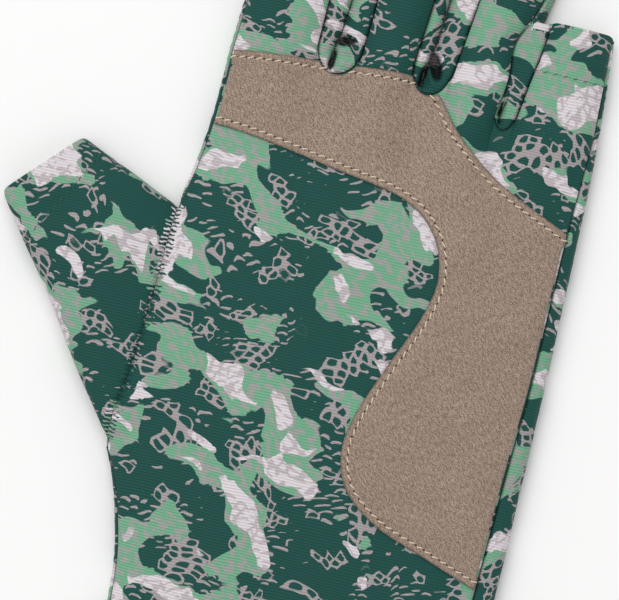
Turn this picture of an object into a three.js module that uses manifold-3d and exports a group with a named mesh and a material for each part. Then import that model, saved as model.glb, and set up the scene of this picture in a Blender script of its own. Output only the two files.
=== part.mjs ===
// Fingerless sun glove for the left hand, lying on its back with the palm up.
// Millimetres. +X points to the little finger, +Y to the fingertips, +Z up.
// Every panel is a sheet of cloth with a real thickness, and the panels meet along their seams.

import * as THREE from 'three'
import { mergeVertices } from 'three/addons/utils/BufferGeometryUtils.js'
import Module from 'manifold-3d'

const wasm = await Module()
wasm.setup()

// Hand, lying flat. The sides are rolled, and the side seams lie a little inside the outline.
const HAND_WIDTH = 100
const HAND_LENGTH = 170
const PALM_RISE = 12
const SIDE_HEIGHT = 7.4
const LEFT_ROLL = 3.7
const LEFT_SEAM_IN = 0.7
const RIGHT_ROLL = 6

// Fingers: how far each opening lies past the knuckles, and the heights of their sections
const INDEX_REACH = 42
const MIDDLE_REACH = 48
const RING_REACH = 44
const LITTLE_REACH = 25.3
const FINGER_RISE = 9.4
const FINGER_EDGE_RISE = 6.4
const KNUCKLE_BLEND = 28

// Strips between the fingers, from the slot in the palm down to the slit in the back
const CROTCH_LEAN = 5
const SLIT_WIDTH = 1.4
const SLIT_RISE = 1.6
const SLIT_FADE = 10
const STRIP_BULGE = 0.7

// Thumb: its hole in the left side of the hand, and the sleeve sewn into it
const THUMB_HOLE_START = 64
const THUMB_HOLE_LENGTH = 63
const THUMB_HOLE_RISE = 9.3
const THUMB_HOLE_FADE = 12
const THUMB_LIFT_WIDTH = 26
const THUMB_LENGTH = 48.9
const THUMB_LEAN = 45.4
const THUMB_OPENING = 25.6
const THUMB_OPENING_TURN = 46.3
const THUMB_RISE = 9
const THUMB_CROWN = 1.3

// Walls and clearances
const CLOTH = 1
const SUEDE = 1
const SEAM_GAP = 0.3
const PATCH_GAP = 0.3
const PATCH_SEAM_GAP = 0.6

// Cells of the sheets
const CUFF_ROWS = 6
const HOLE_ROWS = 10
const KNUCKLE_ROWS = 5
const FINGER_ROWS = 6
const ROLL_CELLS = 4
const STRIP_CELLS = 3
const THUMB_ROWS = 7
const PATCH_CURVE_STEPS = 40

// Outline of the hand from the cuff to the knuckles. along is a share of HAND_LENGTH, left, right
// and seamIn (how far the right seam lies inside the outline) are shares of HAND_WIDTH, and rise
// is a share of PALM_RISE.
const HAND_SECTIONS = [
  { along: 0.000, left: -0.482, right: 0.502, seamIn: 0.058, rise: 0.74 },
  { along: 0.188, left: -0.492, right: 0.500, seamIn: 0.057, rise: 0.86 },
  { along: 0.276, left: -0.523, right: 0.502, seamIn: 0.056, rise: 0.91 },
  { along: 0.329, left: -0.553, right: 0.503, seamIn: 0.054, rise: 0.94 },
  { along: 0.376, left: -0.584, right: 0.504, seamIn: 0.052, rise: 0.97 },
  { along: 0.482, left: -0.565, right: 0.504, seamIn: 0.045, rise: 1.00 },
  { along: 0.600, left: -0.549, right: 0.505, seamIn: 0.036, rise: 1.00 },
  { along: 0.747, left: -0.538, right: 0.503, seamIn: 0.032, rise: 0.97 },
  { along: 0.818, left: -0.518, right: 0.502, seamIn: 0.030, rise: 0.93 },
  { along: 0.894, left: -0.503, right: 0.501, seamIn: 0.025, rise: 0.88 },
  { along: 1.000, left: -0.498, right: 0.495, seamIn: 0.011, rise: 0.82 },
]

// Outline at the openings of the index and little fingers, as shares of HAND_WIDTH
const INDEX_OUTLINE = -0.470
const LITTLE_OUTLINE = 0.478

// Fingers. middle is a share of HAND_WIDTH, and slope is how fast the opening falls towards +X.
// palmCells are the cells across the palm side, and backLines the shares where the back is divided.
const FINGERS = [
  { reach: INDEX_REACH, middle: -0.342, slope: 0.07, palmCells: 4, backLines: [0, 0.5, 0.86, 1] },
  { reach: MIDDLE_REACH, middle: -0.073, slope: 0.06, palmCells: 3, backLines: [0, 0.12, 0.88, 1] },
  { reach: RING_REACH, middle: 0.196, slope: 0.15, palmCells: 3, backLines: [0, 0.12, 0.88, 1] },
  { reach: LITTLE_REACH, middle: 0.390, slope: 0.010, palmCells: 4, backLines: [0, 0.14, 0.5, 1] },
]

// Slots between the fingers, as shares of HAND_WIDTH. centre and width are those of the slot in the
// palm, openLeft and openRight its edges at the two openings, valley, slitLeft and slitRight the same
// for the slit in the back, and drop is how far the slot reaches below the knuckles.
const SLOTS = [
  {
    name: 'index_middle', drop: 0.000, centre: -0.216, width: 0.114, openLeft: -0.264, openRight: -0.136,
    valley: -0.216, slitLeft: -0.213, slitRight: -0.196,
  },
  {
    name: 'middle_ring', drop: 0.000, centre: 0.032, width: 0.102, openLeft: 0.016, openRight: 0.130,
    valley: 0.030, slitLeft: 0.050, slitRight: 0.068,
  },
  {
    name: 'ring_little', drop: 0.046, centre: 0.244, width: 0.052, openLeft: 0.295, openRight: 0.304,
    valley: 0.246, slitLeft: 0.324, slitRight: 0.302,
  },
]

// Suede patch. The upper edge runs from the left seam past the knuckles to the right seam, the lower
// edge from the right seam round the hollow of the palm to the left seam. across is a share of
// HAND_WIDTH and along of HAND_LENGTH. Both edges run past the seams, where the patch is cut off.
const PATCH_UPPER_EDGE = [
  { across: -0.560, along: 0.994 },
  { across: -0.420, along: 1.006 },
  { across: -0.250, along: 1.014 },
  { across: -0.020, along: 1.023 },
  { across: 0.052, along: 1.009 },
  { across: 0.139, along: 0.950 },
  { across: 0.266, along: 0.893 },
  { across: 0.420, along: 0.851 },
  { across: 0.540, along: 0.822 },
]
const PATCH_LOWER_EDGE = [
  { across: 0.540, along: 0.258 },
  { across: 0.438, along: 0.276 },
  { across: 0.285, along: 0.308 },
  { across: 0.150, along: 0.338 },
  { across: 0.056, along: 0.382 },
  { across: 0.022, along: 0.438 },
  { across: 0.036, along: 0.498 },
  { across: 0.090, along: 0.582 },
  { across: 0.148, along: 0.666 },
  { across: 0.166, along: 0.730 },
  { across: 0.128, along: 0.792 },
  { across: 0.030, along: 0.835 },
  { across: -0.170, along: 0.857 },
  { across: -0.400, along: 0.879 },
  { across: -0.560, along: 0.885 },
]

const { lerp, smoothstep, degToRad } = THREE.MathUtils
const point = (x, y, z) => new THREE.Vector3(x, y, z)

// A column of the hand's sections as a smooth function of the distance from the cuff
function handCurve(column) {
  const along = HAND_SECTIONS.map(row => row.along)
  const values = HAND_SECTIONS.map(row => row[column])
  const curve = new THREE.CubicInterpolant(along, values, 1)
  return y => curve.evaluate(Math.min(y / HAND_LENGTH, 1))[0]
}
const leftShare = handCurve('left')
const rightShare = handCurve('right')
const seamInShare = handCurve('seamIn')
const riseShare = handCurve('rise')

// Outline of the whole glove seen from above, on to the openings of the outer fingers
function outline(share, tip, reach, y) {
  return HAND_WIDTH * lerp(share(y), tip, Math.max(0, (y - HAND_LENGTH) / reach))
}
const leftOutline = y => outline(leftShare, INDEX_OUTLINE, INDEX_REACH, y)
const rightOutline = y => outline(rightShare, LITTLE_OUTLINE, LITTLE_REACH, y)

// How far the left seam is opened by the thumb hole: 0 on the closed seam, 1 halfway along the hole
const HOLE_END = THUMB_HOLE_START + THUMB_HOLE_LENGTH
const HOLE_ROUNDNESS = 0.4
function holeOpening(y) {
  const share = (y - THUMB_HOLE_START) / THUMB_HOLE_LENGTH
  if (share <= 0 || share >= 1) return 0
  return Math.sin(Math.acos(1 - 2 * share)) ** HOLE_ROUNDNESS
}

// The left seam runs out to the outline where it meets the thumb hole
function leftSeamIn(y) {
  const past = Math.max(THUMB_HOLE_START - y, y - HOLE_END, 0)
  return LEFT_SEAM_IN * smoothstep(past, 0, THUMB_HOLE_FADE)
}

// Section of a rolled side: part of an ellipse, from the surface below (turn 0) up to the seam (turn 1)
function rollSection(edge, inward, width, seamIn, turn) {
  const top = Math.acos(1 - Math.min(seamIn / width, 1))
  const angle = lerp(-Math.PI / 2, top, turn)
  return {
    x: edge + inward * width * (1 - Math.cos(angle)),
    z: SIDE_HEIGHT / 2 * (1 + Math.sin(angle)),
  }
}
function rightRoll(y, turn) {
  return rollSection(rightOutline(y), -1, RIGHT_ROLL, HAND_WIDTH * seamInShare(y), turn)
}

// At the thumb hole the left roll opens out flat on the surface below
function leftRoll(y, turn) {
  const closed = rollSection(leftOutline(y), 1, LEFT_ROLL, leftSeamIn(y), turn)
  const flat = lerp(leftOutline(y) + LEFT_ROLL, leftOutline(y), turn)
  const open = holeOpening(y)
  return { x: lerp(closed.x, flat, open), z: closed.z * (1 - open) }
}

// Left edge of the palm: the seam, lifted where the thumb is sewn on
function leftPalmEdge(y) {
  const seam = rollSection(leftOutline(y), 1, LEFT_ROLL, leftSeamIn(y), 1)
  return { x: seam.x, z: lerp(seam.z, THUMB_HOLE_RISE, holeOpening(y)) }
}

// Height of the left seam away from the thumb hole
const LEFT_SEAM_RISE = rollSection(0, 1, LEFT_ROLL, LEFT_SEAM_IN, 1).z

// Crown of a soft section across the share 0 to 1
const CROWN_POWER = 2.3
const CROWN_FULLNESS = 0.75
const crown = share => (1 - Math.abs(2 * share - 1) ** CROWN_POWER) ** CROWN_FULLNESS

// Each finger's opening is a straight cut
const openingY = (finger, x) => HAND_LENGTH + finger.reach - finger.slope * (x - HAND_WIDTH * finger.middle)

// The bottom of a slot is a half round between its two sides: a middle point and two corners
const ROUND_CORNER = Math.SQRT1_2
const slotBottom = index => HAND_LENGTH - HAND_WIDTH * SLOTS[index].drop
function slotCorner(index) {
  const row = Math.min(FINGERS[index].reach, FINGERS[index + 1].reach) / FINGER_ROWS
  return slotBottom(index) + (1 - ROUND_CORNER) * row
}

// Rows run from the cuff to the knuckles and on along the fingers. Each column has its own row end.
const HAND_ROWS = CUFF_ROWS + HOLE_ROWS + KNUCKLE_ROWS
const ALL_ROWS = HAND_ROWS + FINGER_ROWS
function handRow(row, rowEnd) {
  if (row <= CUFF_ROWS) return THUMB_HOLE_START * row / CUFF_ROWS
  const pastStart = row - CUFF_ROWS
  if (pastStart <= HOLE_ROWS) {
    return THUMB_HOLE_START + THUMB_HOLE_LENGTH * (1 - Math.cos(Math.PI * pastStart / HOLE_ROWS)) / 2
  }
  return lerp(HOLE_END, rowEnd, (pastStart - HOLE_ROWS) / KNUCKLE_ROWS)
}
const fingerShare = row => (row - HAND_ROWS) / FINGER_ROWS

// Y of the rows at the two outer seams
const LEFT_ROW_END = slotCorner(0)
const RIGHT_ROW_END = slotBottom(2)
function leftSeamY(row) {
  if (row <= HAND_ROWS) return handRow(row, LEFT_ROW_END)
  return lerp(LEFT_ROW_END, openingY(FINGERS[0], HAND_WIDTH * INDEX_OUTLINE), fingerShare(row))
}
function rightSeamY(row) {
  if (row <= HAND_ROWS) return handRow(row, RIGHT_ROW_END)
  return lerp(RIGHT_ROW_END, openingY(FINGERS[3], HAND_WIDTH * LITTLE_OUTLINE), fingerShare(row))
}

// A sheet is a grid of points with cells, which run anticlockwise when seen from outside
function gridSheet({ columns, rows, hasCell = () => true, pointAt, flipped = false }) {
  const places = new Map()
  const points = []
  const cells = []
  const vertex = (column, row) => {
    const key = `${column},${row}`
    if (!places.has(key)) {
      places.set(key, points.length)
      points.push(pointAt(column, row))
    }
    return places.get(key)
  }
  for (let row = 0; row < rows; row++) {
    for (let column = 0; column < columns; column++) {
      if (!hasCell(column, row)) continue
      const corners = [[column, row], [column + 1, row], [column + 1, row + 1], [column, row + 1]]
      const cell = corners.map(([atColumn, atRow]) => vertex(atColumn, atRow))
      cells.push(flipped ? cell.reverse() : cell)
    }
  }
  const at = (column, row) => points[places.get(`${column},${row}`)]
  return { points, cells, at }
}

// Columns of a comb: the lines of each finger, with the middle of a slot between two fingers
function combColumns(linesOf) {
  return FINGERS.flatMap((finger, index) => {
    const lines = linesOf(finger).map(share => ({ finger: index, share }))
    return index < SLOTS.length ? [...lines, { slot: index }] : lines
  })
}
const sameFinger = (columns, column) => {
  const { finger } = columns[column]
  return finger !== undefined && finger === columns[column + 1].finger
}
const slotColumn = (columns, slot) => columns.findIndex(column => column.slot === slot)

// Palm panel: seams at the sides, and the slots between the fingers cut out of it
const palmColumns = combColumns(({ palmCells }) => {
  return Array.from({ length: palmCells + 1 }, (_, line) => line / palmCells)
})

// Edge of the palm side of a finger: a side seam, or the edge of a slot. side is -1 left, 1 right.
function palmEdge(finger, side, row) {
  if (finger === 0 && side < 0) {
    const y = leftSeamY(row)
    const { x, z } = leftPalmEdge(y)
    return point(x, y, z)
  }
  if (finger === 3 && side > 0) {
    const y = rightSeamY(row)
    const { x, z } = rightRoll(y, 1)
    return point(x, y, z)
  }
  const index = side < 0 ? finger - 1 : finger
  const slot = SLOTS[index]
  const tip = HAND_WIDTH * (side < 0 ? slot.openRight : slot.openLeft)
  if (row === HAND_ROWS) {
    const x = HAND_WIDTH * (slot.centre - side * ROUND_CORNER * slot.width / 2)
    return point(x, slotCorner(index), FINGER_EDGE_RISE)
  }
  const x = lerp(HAND_WIDTH * (slot.centre - side * slot.width / 2), tip, fingerShare(row))
  return point(x, lerp(slotCorner(index), openingY(FINGERS[finger], tip), fingerShare(row)), FINGER_EDGE_RISE)
}

// Palm side of the fingers, from the knuckles to the openings
function palmFingerPoint(column, row) {
  const { finger, share, slot } = palmColumns[column]
  if (slot !== undefined) return point(HAND_WIDTH * SLOTS[slot].centre, slotBottom(slot), FINGER_EDGE_RISE)
  const place = palmEdge(finger, -1, row).lerp(palmEdge(finger, 1, row), share)
  place.z += (FINGER_RISE - place.z) * crown(share)
  return place
}

// Palm below the knuckles: one shallow crown from seam to seam, which turns into one for each finger
function palmPoint(column, row) {
  if (row > HAND_ROWS) return palmFingerPoint(column, row)
  const end = palmFingerPoint(column, HAND_ROWS)
  const firstEnd = palmFingerPoint(0, HAND_ROWS)
  const lastEnd = palmFingerPoint(palmColumns.length - 1, HAND_ROWS)
  const share = (end.x - firstEnd.x) / (lastEnd.x - firstEnd.x)
  const y = handRow(row, end.y)
  const left = leftPalmEdge(y)
  const right = rightRoll(y, 1)
  const x = lerp(left.x, right.x, share)
  const lift = (left.z - LEFT_SEAM_RISE) * (1 - smoothstep(x - left.x, 0, THUMB_LIFT_WIDTH))
  const edge = lerp(LEFT_SEAM_RISE, right.z, share) + lift
  const handCrown = (PALM_RISE * riseShare(y) - edge) * crown(share)
  const fingerCrown = end.z - lerp(firstEnd.z, lastEnd.z, share)
  const knuckles = smoothstep(y, end.y - KNUCKLE_BLEND, end.y)
  return point(x, y, edge + lerp(handCrown, fingerCrown, knuckles))
}

const palmSheet = gridSheet({
  columns: palmColumns.length - 1,
  rows: ALL_ROWS,
  hasCell: (column, row) => row < HAND_ROWS || sameFinger(palmColumns, column),
  pointAt: palmPoint,
})

// Back panel: flat on the surface below, rolled up to the seams at both sides, slit between the fingers
const rollTurns = Array.from({ length: ROLL_CELLS }, (_, cell) => (cell + 1) / ROLL_CELLS)
const backColumns = [
  ...rollTurns.toReversed().map(turn => ({ finger: 0, roll: leftRoll, seamY: leftSeamY, turn })),
  ...combColumns(({ backLines }) => backLines),
  ...rollTurns.map(turn => ({ finger: 3, roll: rightRoll, seamY: rightSeamY, turn })),
]

// Edge of a finger's back: the foot of a roll, or the lip of a slit
function backEdge(finger, side, row) {
  if (finger === 0 && side < 0) return point(leftRoll(leftSeamY(row), 0).x, leftSeamY(row), 0)
  if (finger === 3 && side > 0) return point(rightRoll(rightSeamY(row), 0).x, rightSeamY(row), 0)
  const index = side < 0 ? finger - 1 : finger
  const slot = SLOTS[index]
  const tip = HAND_WIDTH * (side < 0 ? slot.slitRight : slot.slitLeft)
  const width = row === HAND_ROWS ? ROUND_CORNER * SLIT_WIDTH : SLIT_WIDTH
  const base = HAND_WIDTH * slot.valley - side * width / 2
  const y = lerp(slotCorner(index) + CROTCH_LEAN, openingY(FINGERS[finger], tip), fingerShare(row))
  return point(lerp(base, tip, fingerShare(row)), y, SLIT_RISE)
}

function backFingerPoint(column, row) {
  const { finger, share, slot } = backColumns[column]
  if (slot !== undefined) {
    return point(HAND_WIDTH * SLOTS[slot].valley, slotBottom(slot) + CROTCH_LEAN, SLIT_RISE)
  }
  const place = backEdge(finger, -1, row).lerp(backEdge(finger, 1, row), share)
  if (share > 0 && share < 1) place.z = 0
  return place
}

function backPoint(column, row) {
  const { roll, seamY, turn } = backColumns[column]
  if (roll) {
    const { x, z } = roll(seamY(row), turn)
    return point(x, seamY(row), z)
  }
  if (row > HAND_ROWS) return backFingerPoint(column, row)
  const end = backFingerPoint(column, HAND_ROWS)
  const firstEnd = backFingerPoint(ROLL_CELLS, HAND_ROWS)
  const lastEnd = backFingerPoint(backColumns.length - 1 - ROLL_CELLS, HAND_ROWS)
  const share = (end.x - firstEnd.x) / (lastEnd.x - firstEnd.x)
  const y = handRow(row, end.y)
  const x = lerp(leftRoll(y, 0).x, rightRoll(y, 0).x, share)
  return point(x, y, end.z * smoothstep(y, end.y - SLIT_FADE, end.y))
}

const backSheet = gridSheet({
  columns: backColumns.length - 1,
  rows: ALL_ROWS,
  hasCell: (column, row) => row < HAND_ROWS || sameFinger(backColumns, column),
  pointAt: backPoint,
  flipped: true,
})

// Strip between two fingers: down the side of the left finger, round the crotch and up the side of
// the right finger. It joins the edge of the slot in the palm to the edge of the slit in the back.
function stripSheet(slot) {
  const palmColumn = slotColumn(palmColumns, slot)
  const backColumn = slotColumn(backColumns, slot)
  const stations = []
  for (let row = ALL_ROWS; row >= HAND_ROWS; row--) stations.push({ side: -1, row })
  stations.push({ side: 0, row: HAND_ROWS })
  for (let row = HAND_ROWS; row <= ALL_ROWS; row++) stations.push({ side: 1, row })
  const upper = stations.map(({ side, row }) => palmSheet.at(palmColumn + side, row))
  const lower = stations.map(({ side, row }) => backSheet.at(backColumn + side, row))
  const middle = (stations.length - 1) / 2
  const pointAt = (station, line) => {
    const across = lower[station].clone().sub(upper[station])
    const before = upper[Math.max(station - 1, 0)]
    const after = upper[Math.min(station + 1, stations.length - 1)]
    const outward = after.clone().sub(before).cross(across).normalize()
    const bulge = STRIP_BULGE * Math.sin(Math.PI * line / STRIP_CELLS)
    const fromCrotch = Math.min(1, Math.abs(station - middle) / FINGER_ROWS)
    return upper[station].clone().lerp(lower[station], line / STRIP_CELLS)
      .addScaledVector(outward, bulge * fromCrotch)
  }
  return gridSheet({ columns: stations.length - 1, rows: STRIP_CELLS, pointAt })
}
const stripSheets = SLOTS.map((_, slot) => stripSheet(slot))

// Thumb sleeve: a ring of points round the hole, drawn out to the oval opening. The ring runs up
// the palm side of the hole and back down the side that lies on the surface below.
const OPENING_ROUNDNESS = 0.6
function thumbRingPoint(step, share) {
  const above = step <= HOLE_ROWS
  const turn = above ? step : 2 * HOLE_ROWS - step
  const y = handRow(CUFF_ROWS + turn, HAND_LENGTH)
  const edge = above ? leftPalmEdge(y) : leftRoll(y, 1)
  const base = point(edge.x, y, edge.z)
  const holeMiddle = THUMB_HOLE_START + THUMB_HOLE_LENGTH / 2
  const lean = degToRad(THUMB_LEAN)
  const tipX = leftPalmEdge(holeMiddle).x - THUMB_LENGTH * Math.sin(lean)
  const tipY = holeMiddle + THUMB_LENGTH * Math.cos(lean)
  const angle = Math.PI * turn / HOLE_ROWS
  const along = -Math.cos(angle) * THUMB_OPENING / 2
  const lift = Math.sin(angle) ** OPENING_ROUNDNESS * (above ? 1 : -1)
  const opening = degToRad(THUMB_OPENING_TURN)
  const tip = point(
    tipX + along * Math.cos(opening),
    tipY + along * Math.sin(opening),
    THUMB_RISE / 2 * (1 + lift),
  )
  const place = base.lerp(tip, share)
  if (above) place.z += THUMB_CROWN * Math.sin(Math.PI * share) * holeOpening(y)
  return place
}

function thumbSheet() {
  const ringSteps = 2 * HOLE_ROWS
  const points = []
  const cells = []
  for (let row = 0; row <= THUMB_ROWS; row++) {
    for (let step = 0; step < ringSteps; step++) points.push(thumbRingPoint(step, row / THUMB_ROWS))
  }
  for (let row = 0; row < THUMB_ROWS; row++) {
    for (let step = 0; step < ringSteps; step++) {
      const next = (step + 1) % ringSteps
      const here = row * ringSteps
      cells.push([here + step, here + next, here + ringSteps + next, here + ringSteps + step])
    }
  }
  return { points, cells }
}

// Sewing. Points of two or three sheets that lie in one place are sewn together there.
const placeKey = ({ x, y, z }) => [x, y, z].map(value => Math.round(value * 1000)).join(',')

function measureSheet(sheet) {
  sheet.normals = sheet.points.map(() => point(0, 0, 0))
  const edges = new Map()
  for (const cell of sheet.cells) {
    const [a, b, c, d] = cell.map(vertex => sheet.points[vertex])
    const normal = c.clone().sub(a).cross(d.clone().sub(b))
    cell.forEach((vertex, corner) => {
      sheet.normals[vertex].add(normal)
      edges.set(`${vertex},${cell[(corner + 1) % 4]}`, [vertex, cell[(corner + 1) % 4]])
    })
  }
  sheet.normals.forEach(normal => normal.normalize())
  sheet.rim = [...edges.values()].filter(([from, to]) => !edges.has(`${to},${from}`))
}

// At a seam all sheets share one mean normal, so that their cut edges face each other. inset moves
// a point away from the seams that it lies on by one unit, within its own sheet.
function sewSheets(sheets) {
  const meeting = new Map()
  const rimKeys = new Map()
  const edgeKey = (sheet, from, to) => `${placeKey(sheet.points[from])}|${placeKey(sheet.points[to])}`
  for (const sheet of sheets) {
    measureSheet(sheet)
    for (const [from, to] of sheet.rim) {
      rimKeys.set(edgeKey(sheet, from, to), true)
      const key = placeKey(sheet.points[from])
      meeting.set(key, [...(meeting.get(key) ?? []), sheet.normals[from]])
    }
  }
  for (const sheet of sheets) {
    sheet.walls = sheet.points.map((place, vertex) => {
      const own = sheet.normals[vertex]
      const normals = meeting.get(placeKey(place)) ?? [own]
      const mean = normals.reduce((sum, normal) => sum.add(normal), point(0, 0, 0)).normalize()
      const spread = normals.reduce((sum, normal) => sum + normal.dot(mean), 0) / normals.length
      return mean.divideScalar(Math.max(spread, 0.5))
    })
    const away = sheet.points.map(() => [])
    for (const [from, to] of sheet.rim) {
      if (!rimKeys.has(edgeKey(sheet, to, from))) continue
      const edge = sheet.points[to].clone().sub(sheet.points[from])
      for (const vertex of [from, to]) away[vertex].push(sheet.walls[vertex].clone().cross(edge).normalize())
    }
    sheet.inset = away.map(([first, second]) => {
      if (!first) return point(0, 0, 0)
      if (!second) return first
      return first.clone().add(second).divideScalar(Math.max(1 + first.dot(second), 0.5))
    })
  }
}

// Solid wall on a sheet, between two heights over it, held back from the seams. Both walls at a
// seam divide its cut edge along the same diagonal.
function wallGeometry(sheet, lower, upper, seamInset) {
  const level = height => sheet.points.map((place, vertex) => {
    return place.clone().addScaledVector(sheet.walls[vertex], height).addScaledVector(sheet.inset[vertex], seamInset)
  })
  const count = sheet.points.length
  const triangles = []
  const quad = (a, b, c, d) => triangles.push(a, b, c, a, c, d)
  for (const [a, b, c, d] of sheet.cells) {
    quad(a, b, c, d)
    quad(count + a, count + d, count + c, count + b)
  }
  for (const [from, to] of sheet.rim) {
    const fromFirst = placeKey(sheet.points[from]) < placeKey(sheet.points[to])
    if (fromFirst) quad(from, count + from, count + to, to)
    else quad(to, from, count + from, count + to)
  }
  const geometry = new THREE.BufferGeometry()
  geometry.setFromPoints([...level(upper), ...level(lower)])
  geometry.setIndex(triangles)
  geometry.computeVertexNormals()
  return geometry
}

const thumb = thumbSheet()
sewSheets([palmSheet, backSheet, thumb, ...stripSheets])
const clothWall = sheet => wallGeometry(sheet, -CLOTH, 0, SEAM_GAP / 2)

// Closed mesh as a solid that can be cut, and back
function toSolid(geometry) {
  const bare = new THREE.BufferGeometry()
  bare.setAttribute('position', geometry.getAttribute('position'))
  bare.setIndex(geometry.getIndex())
  const merged = mergeVertices(bare)
  return new wasm.Manifold(new wasm.Mesh({
    numProp: 3,
    vertProperties: merged.getAttribute('position').array,
    triVerts: new Uint32Array(merged.getIndex().array),
  }))
}
function fromSolid(solid) {
  const mesh = solid.getMesh()
  const geometry = new THREE.BufferGeometry()
  geometry.setAttribute('position', new THREE.BufferAttribute(mesh.vertProperties, 3))
  geometry.setIndex(new THREE.BufferAttribute(mesh.triVerts, 1))
  geometry.computeVertexNormals()
  return geometry
}

// Suede patch: a second wall over the palm panel, cut to the outline of the patch
function patchGeometry() {
  const curve = edge => {
    const knots = edge.map(({ across, along }) => new THREE.Vector2(across * HAND_WIDTH, along * HAND_LENGTH))
    return new THREE.SplineCurve(knots).getPoints(PATCH_CURVE_STEPS)
  }
  const shape = new THREE.Shape([...curve(PATCH_UPPER_EDGE), ...curve(PATCH_LOWER_EDGE)])
  const cutter = new THREE.ExtrudeGeometry(shape, { depth: 3 * PALM_RISE, bevelEnabled: false })
  const skin = wallGeometry(palmSheet, PATCH_GAP, PATCH_GAP + SUEDE, SEAM_GAP / 2 + PATCH_SEAM_GAP)
  return fromSolid(toSolid(skin).intersect(toSolid(cutter)))
}

function piece(name, geometry, finish) {
  const mesh = new THREE.Mesh(geometry, new THREE.MeshStandardMaterial({ ...finish, metalness: 0 }))
  mesh.name = name
  return mesh
}

const KNIT = { color: 0x6d9180, roughness: 0.78 }
const STRIP = { color: 0x3d7363, roughness: 0.78 }
const NAP = { color: 0x9b8776, roughness: 0.95 }

const glove = new THREE.Group()
glove.add(piece('palm_panel', clothWall(palmSheet), KNIT))
glove.add(piece('back_panel', clothWall(backSheet), KNIT))
glove.add(piece('thumb', clothWall(thumb), KNIT))
SLOTS.forEach(({ name }, slot) => glove.add(piece(`fourchette_${name}`, clothWall(stripSheets[slot]), STRIP)))
glove.add(piece('palm_patch', patchGeometry(), NAP))

// The origin is the middle of the footprint, on the surface that the glove lies on
const box = new THREE.Box3().setFromObject(glove)
const centre = box.getCenter(point(0, 0, 0))
glove.position.set(-centre.x, -centre.y, -box.min.z)

export default glove
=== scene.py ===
# Fingerless sun glove for the left hand, lying on its back with the palm up.
# Metres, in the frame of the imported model: +X to the little finger, +Y to the fingertips, +Z up.

import math

import bpy
import numpy as np
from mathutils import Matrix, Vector, kdtree
from mathutils.bvhtree import BVHTree
from mathutils.geometry import delaunay_2d_cdt


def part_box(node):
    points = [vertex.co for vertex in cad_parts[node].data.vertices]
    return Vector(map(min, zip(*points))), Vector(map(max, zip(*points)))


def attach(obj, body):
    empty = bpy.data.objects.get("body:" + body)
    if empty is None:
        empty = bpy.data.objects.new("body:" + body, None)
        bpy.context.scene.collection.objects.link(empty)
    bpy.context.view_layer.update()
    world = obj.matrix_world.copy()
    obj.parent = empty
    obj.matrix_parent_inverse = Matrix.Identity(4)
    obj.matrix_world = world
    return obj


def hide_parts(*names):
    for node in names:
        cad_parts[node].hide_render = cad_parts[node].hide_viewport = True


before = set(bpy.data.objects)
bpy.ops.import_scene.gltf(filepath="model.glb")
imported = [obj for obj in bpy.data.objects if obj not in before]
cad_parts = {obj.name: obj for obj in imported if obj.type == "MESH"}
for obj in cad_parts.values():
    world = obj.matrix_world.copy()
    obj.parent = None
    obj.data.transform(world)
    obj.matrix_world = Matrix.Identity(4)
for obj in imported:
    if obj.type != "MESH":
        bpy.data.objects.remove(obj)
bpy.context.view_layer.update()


# Camera and studio
# The glove lies on a plain pale floor and is seen from straight above, turned 13 degrees clockwise.
# A wide soft light hangs over it, and a dome of even light takes the shadows off the floor.

VIEW_CENTRE = (0.0095, 0.0015)
VIEW_WIDTH = 0.1616
VIEW_HEIGHT_OF_FOCUS = 0.006
VIEW_TURN = math.radians(13)
CAMERA_LENS = 300
CAMERA_SENSOR = 36
CAMERA_CLIP = (0.01, 20)


def linked(name, data):
    """New object, linked into the scene."""
    made = bpy.data.objects.new(name, data)
    bpy.context.collection.objects.link(made)
    return made


def new_material(name, looks):
    """New material, whose shader has these inputs set."""
    material = bpy.data.materials.new(name)
    material.use_nodes = True
    for socket, value in looks.items():
        material.node_tree.nodes["Principled BSDF"].inputs[socket].default_value = value
    return material


camera_data = bpy.data.cameras.new("camera")
camera_data.lens = CAMERA_LENS
camera_data.sensor_width = CAMERA_SENSOR
camera_data.clip_start, camera_data.clip_end = CAMERA_CLIP
camera = linked("camera", camera_data)
camera_distance = VIEW_WIDTH * CAMERA_LENS / CAMERA_SENSOR
camera.location = (*VIEW_CENTRE, VIEW_HEIGHT_OF_FOCUS + camera_distance)
camera.rotation_euler = (0, 0, VIEW_TURN)
bpy.context.scene.camera = camera
bpy.context.scene.view_settings.view_transform = "Standard"

FLOOR_SIZE = 6
FLOOR_COLOUR = (0.93, 0.93, 0.925, 1)
FLOOR_ROUGHNESS = 0.9
DOME_STRENGTH = 0.62
OVERHEAD_SIZE = 2.8
OVERHEAD_POWER = 52
OVERHEAD_PLACE = (-0.9, 1.1, 2.5)

half = FLOOR_SIZE / 2
floor_corners = [(-half, -half, 0), (half, -half, 0), (half, half, 0), (-half, half, 0)]
floor_mesh = bpy.data.meshes.new("floor")
floor_mesh.from_pydata(floor_corners, [], [(0, 1, 2, 3)])
floor_mesh.materials.append(
    new_material("pale floor", {"Base Color": FLOOR_COLOUR, "Roughness": FLOOR_ROUGHNESS})
)
floor = linked("floor", floor_mesh)

world = bpy.data.worlds.new("dome")
world.use_nodes = True
world.node_tree.nodes["Background"].inputs["Color"].default_value = (1, 1, 1, 1)
world.node_tree.nodes["Background"].inputs["Strength"].default_value = DOME_STRENGTH
bpy.context.scene.world = world

lamp_data = bpy.data.lights.new("overhead softbox", "AREA")
lamp_data.size = OVERHEAD_SIZE
lamp_data.energy = OVERHEAD_POWER
lamp = linked("overhead softbox", lamp_data)
lamp.location = OVERHEAD_PLACE
lamp.rotation_euler = (-Vector(OVERHEAD_PLACE)).to_track_quat("-Z", "Y").to_euler()


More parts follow.
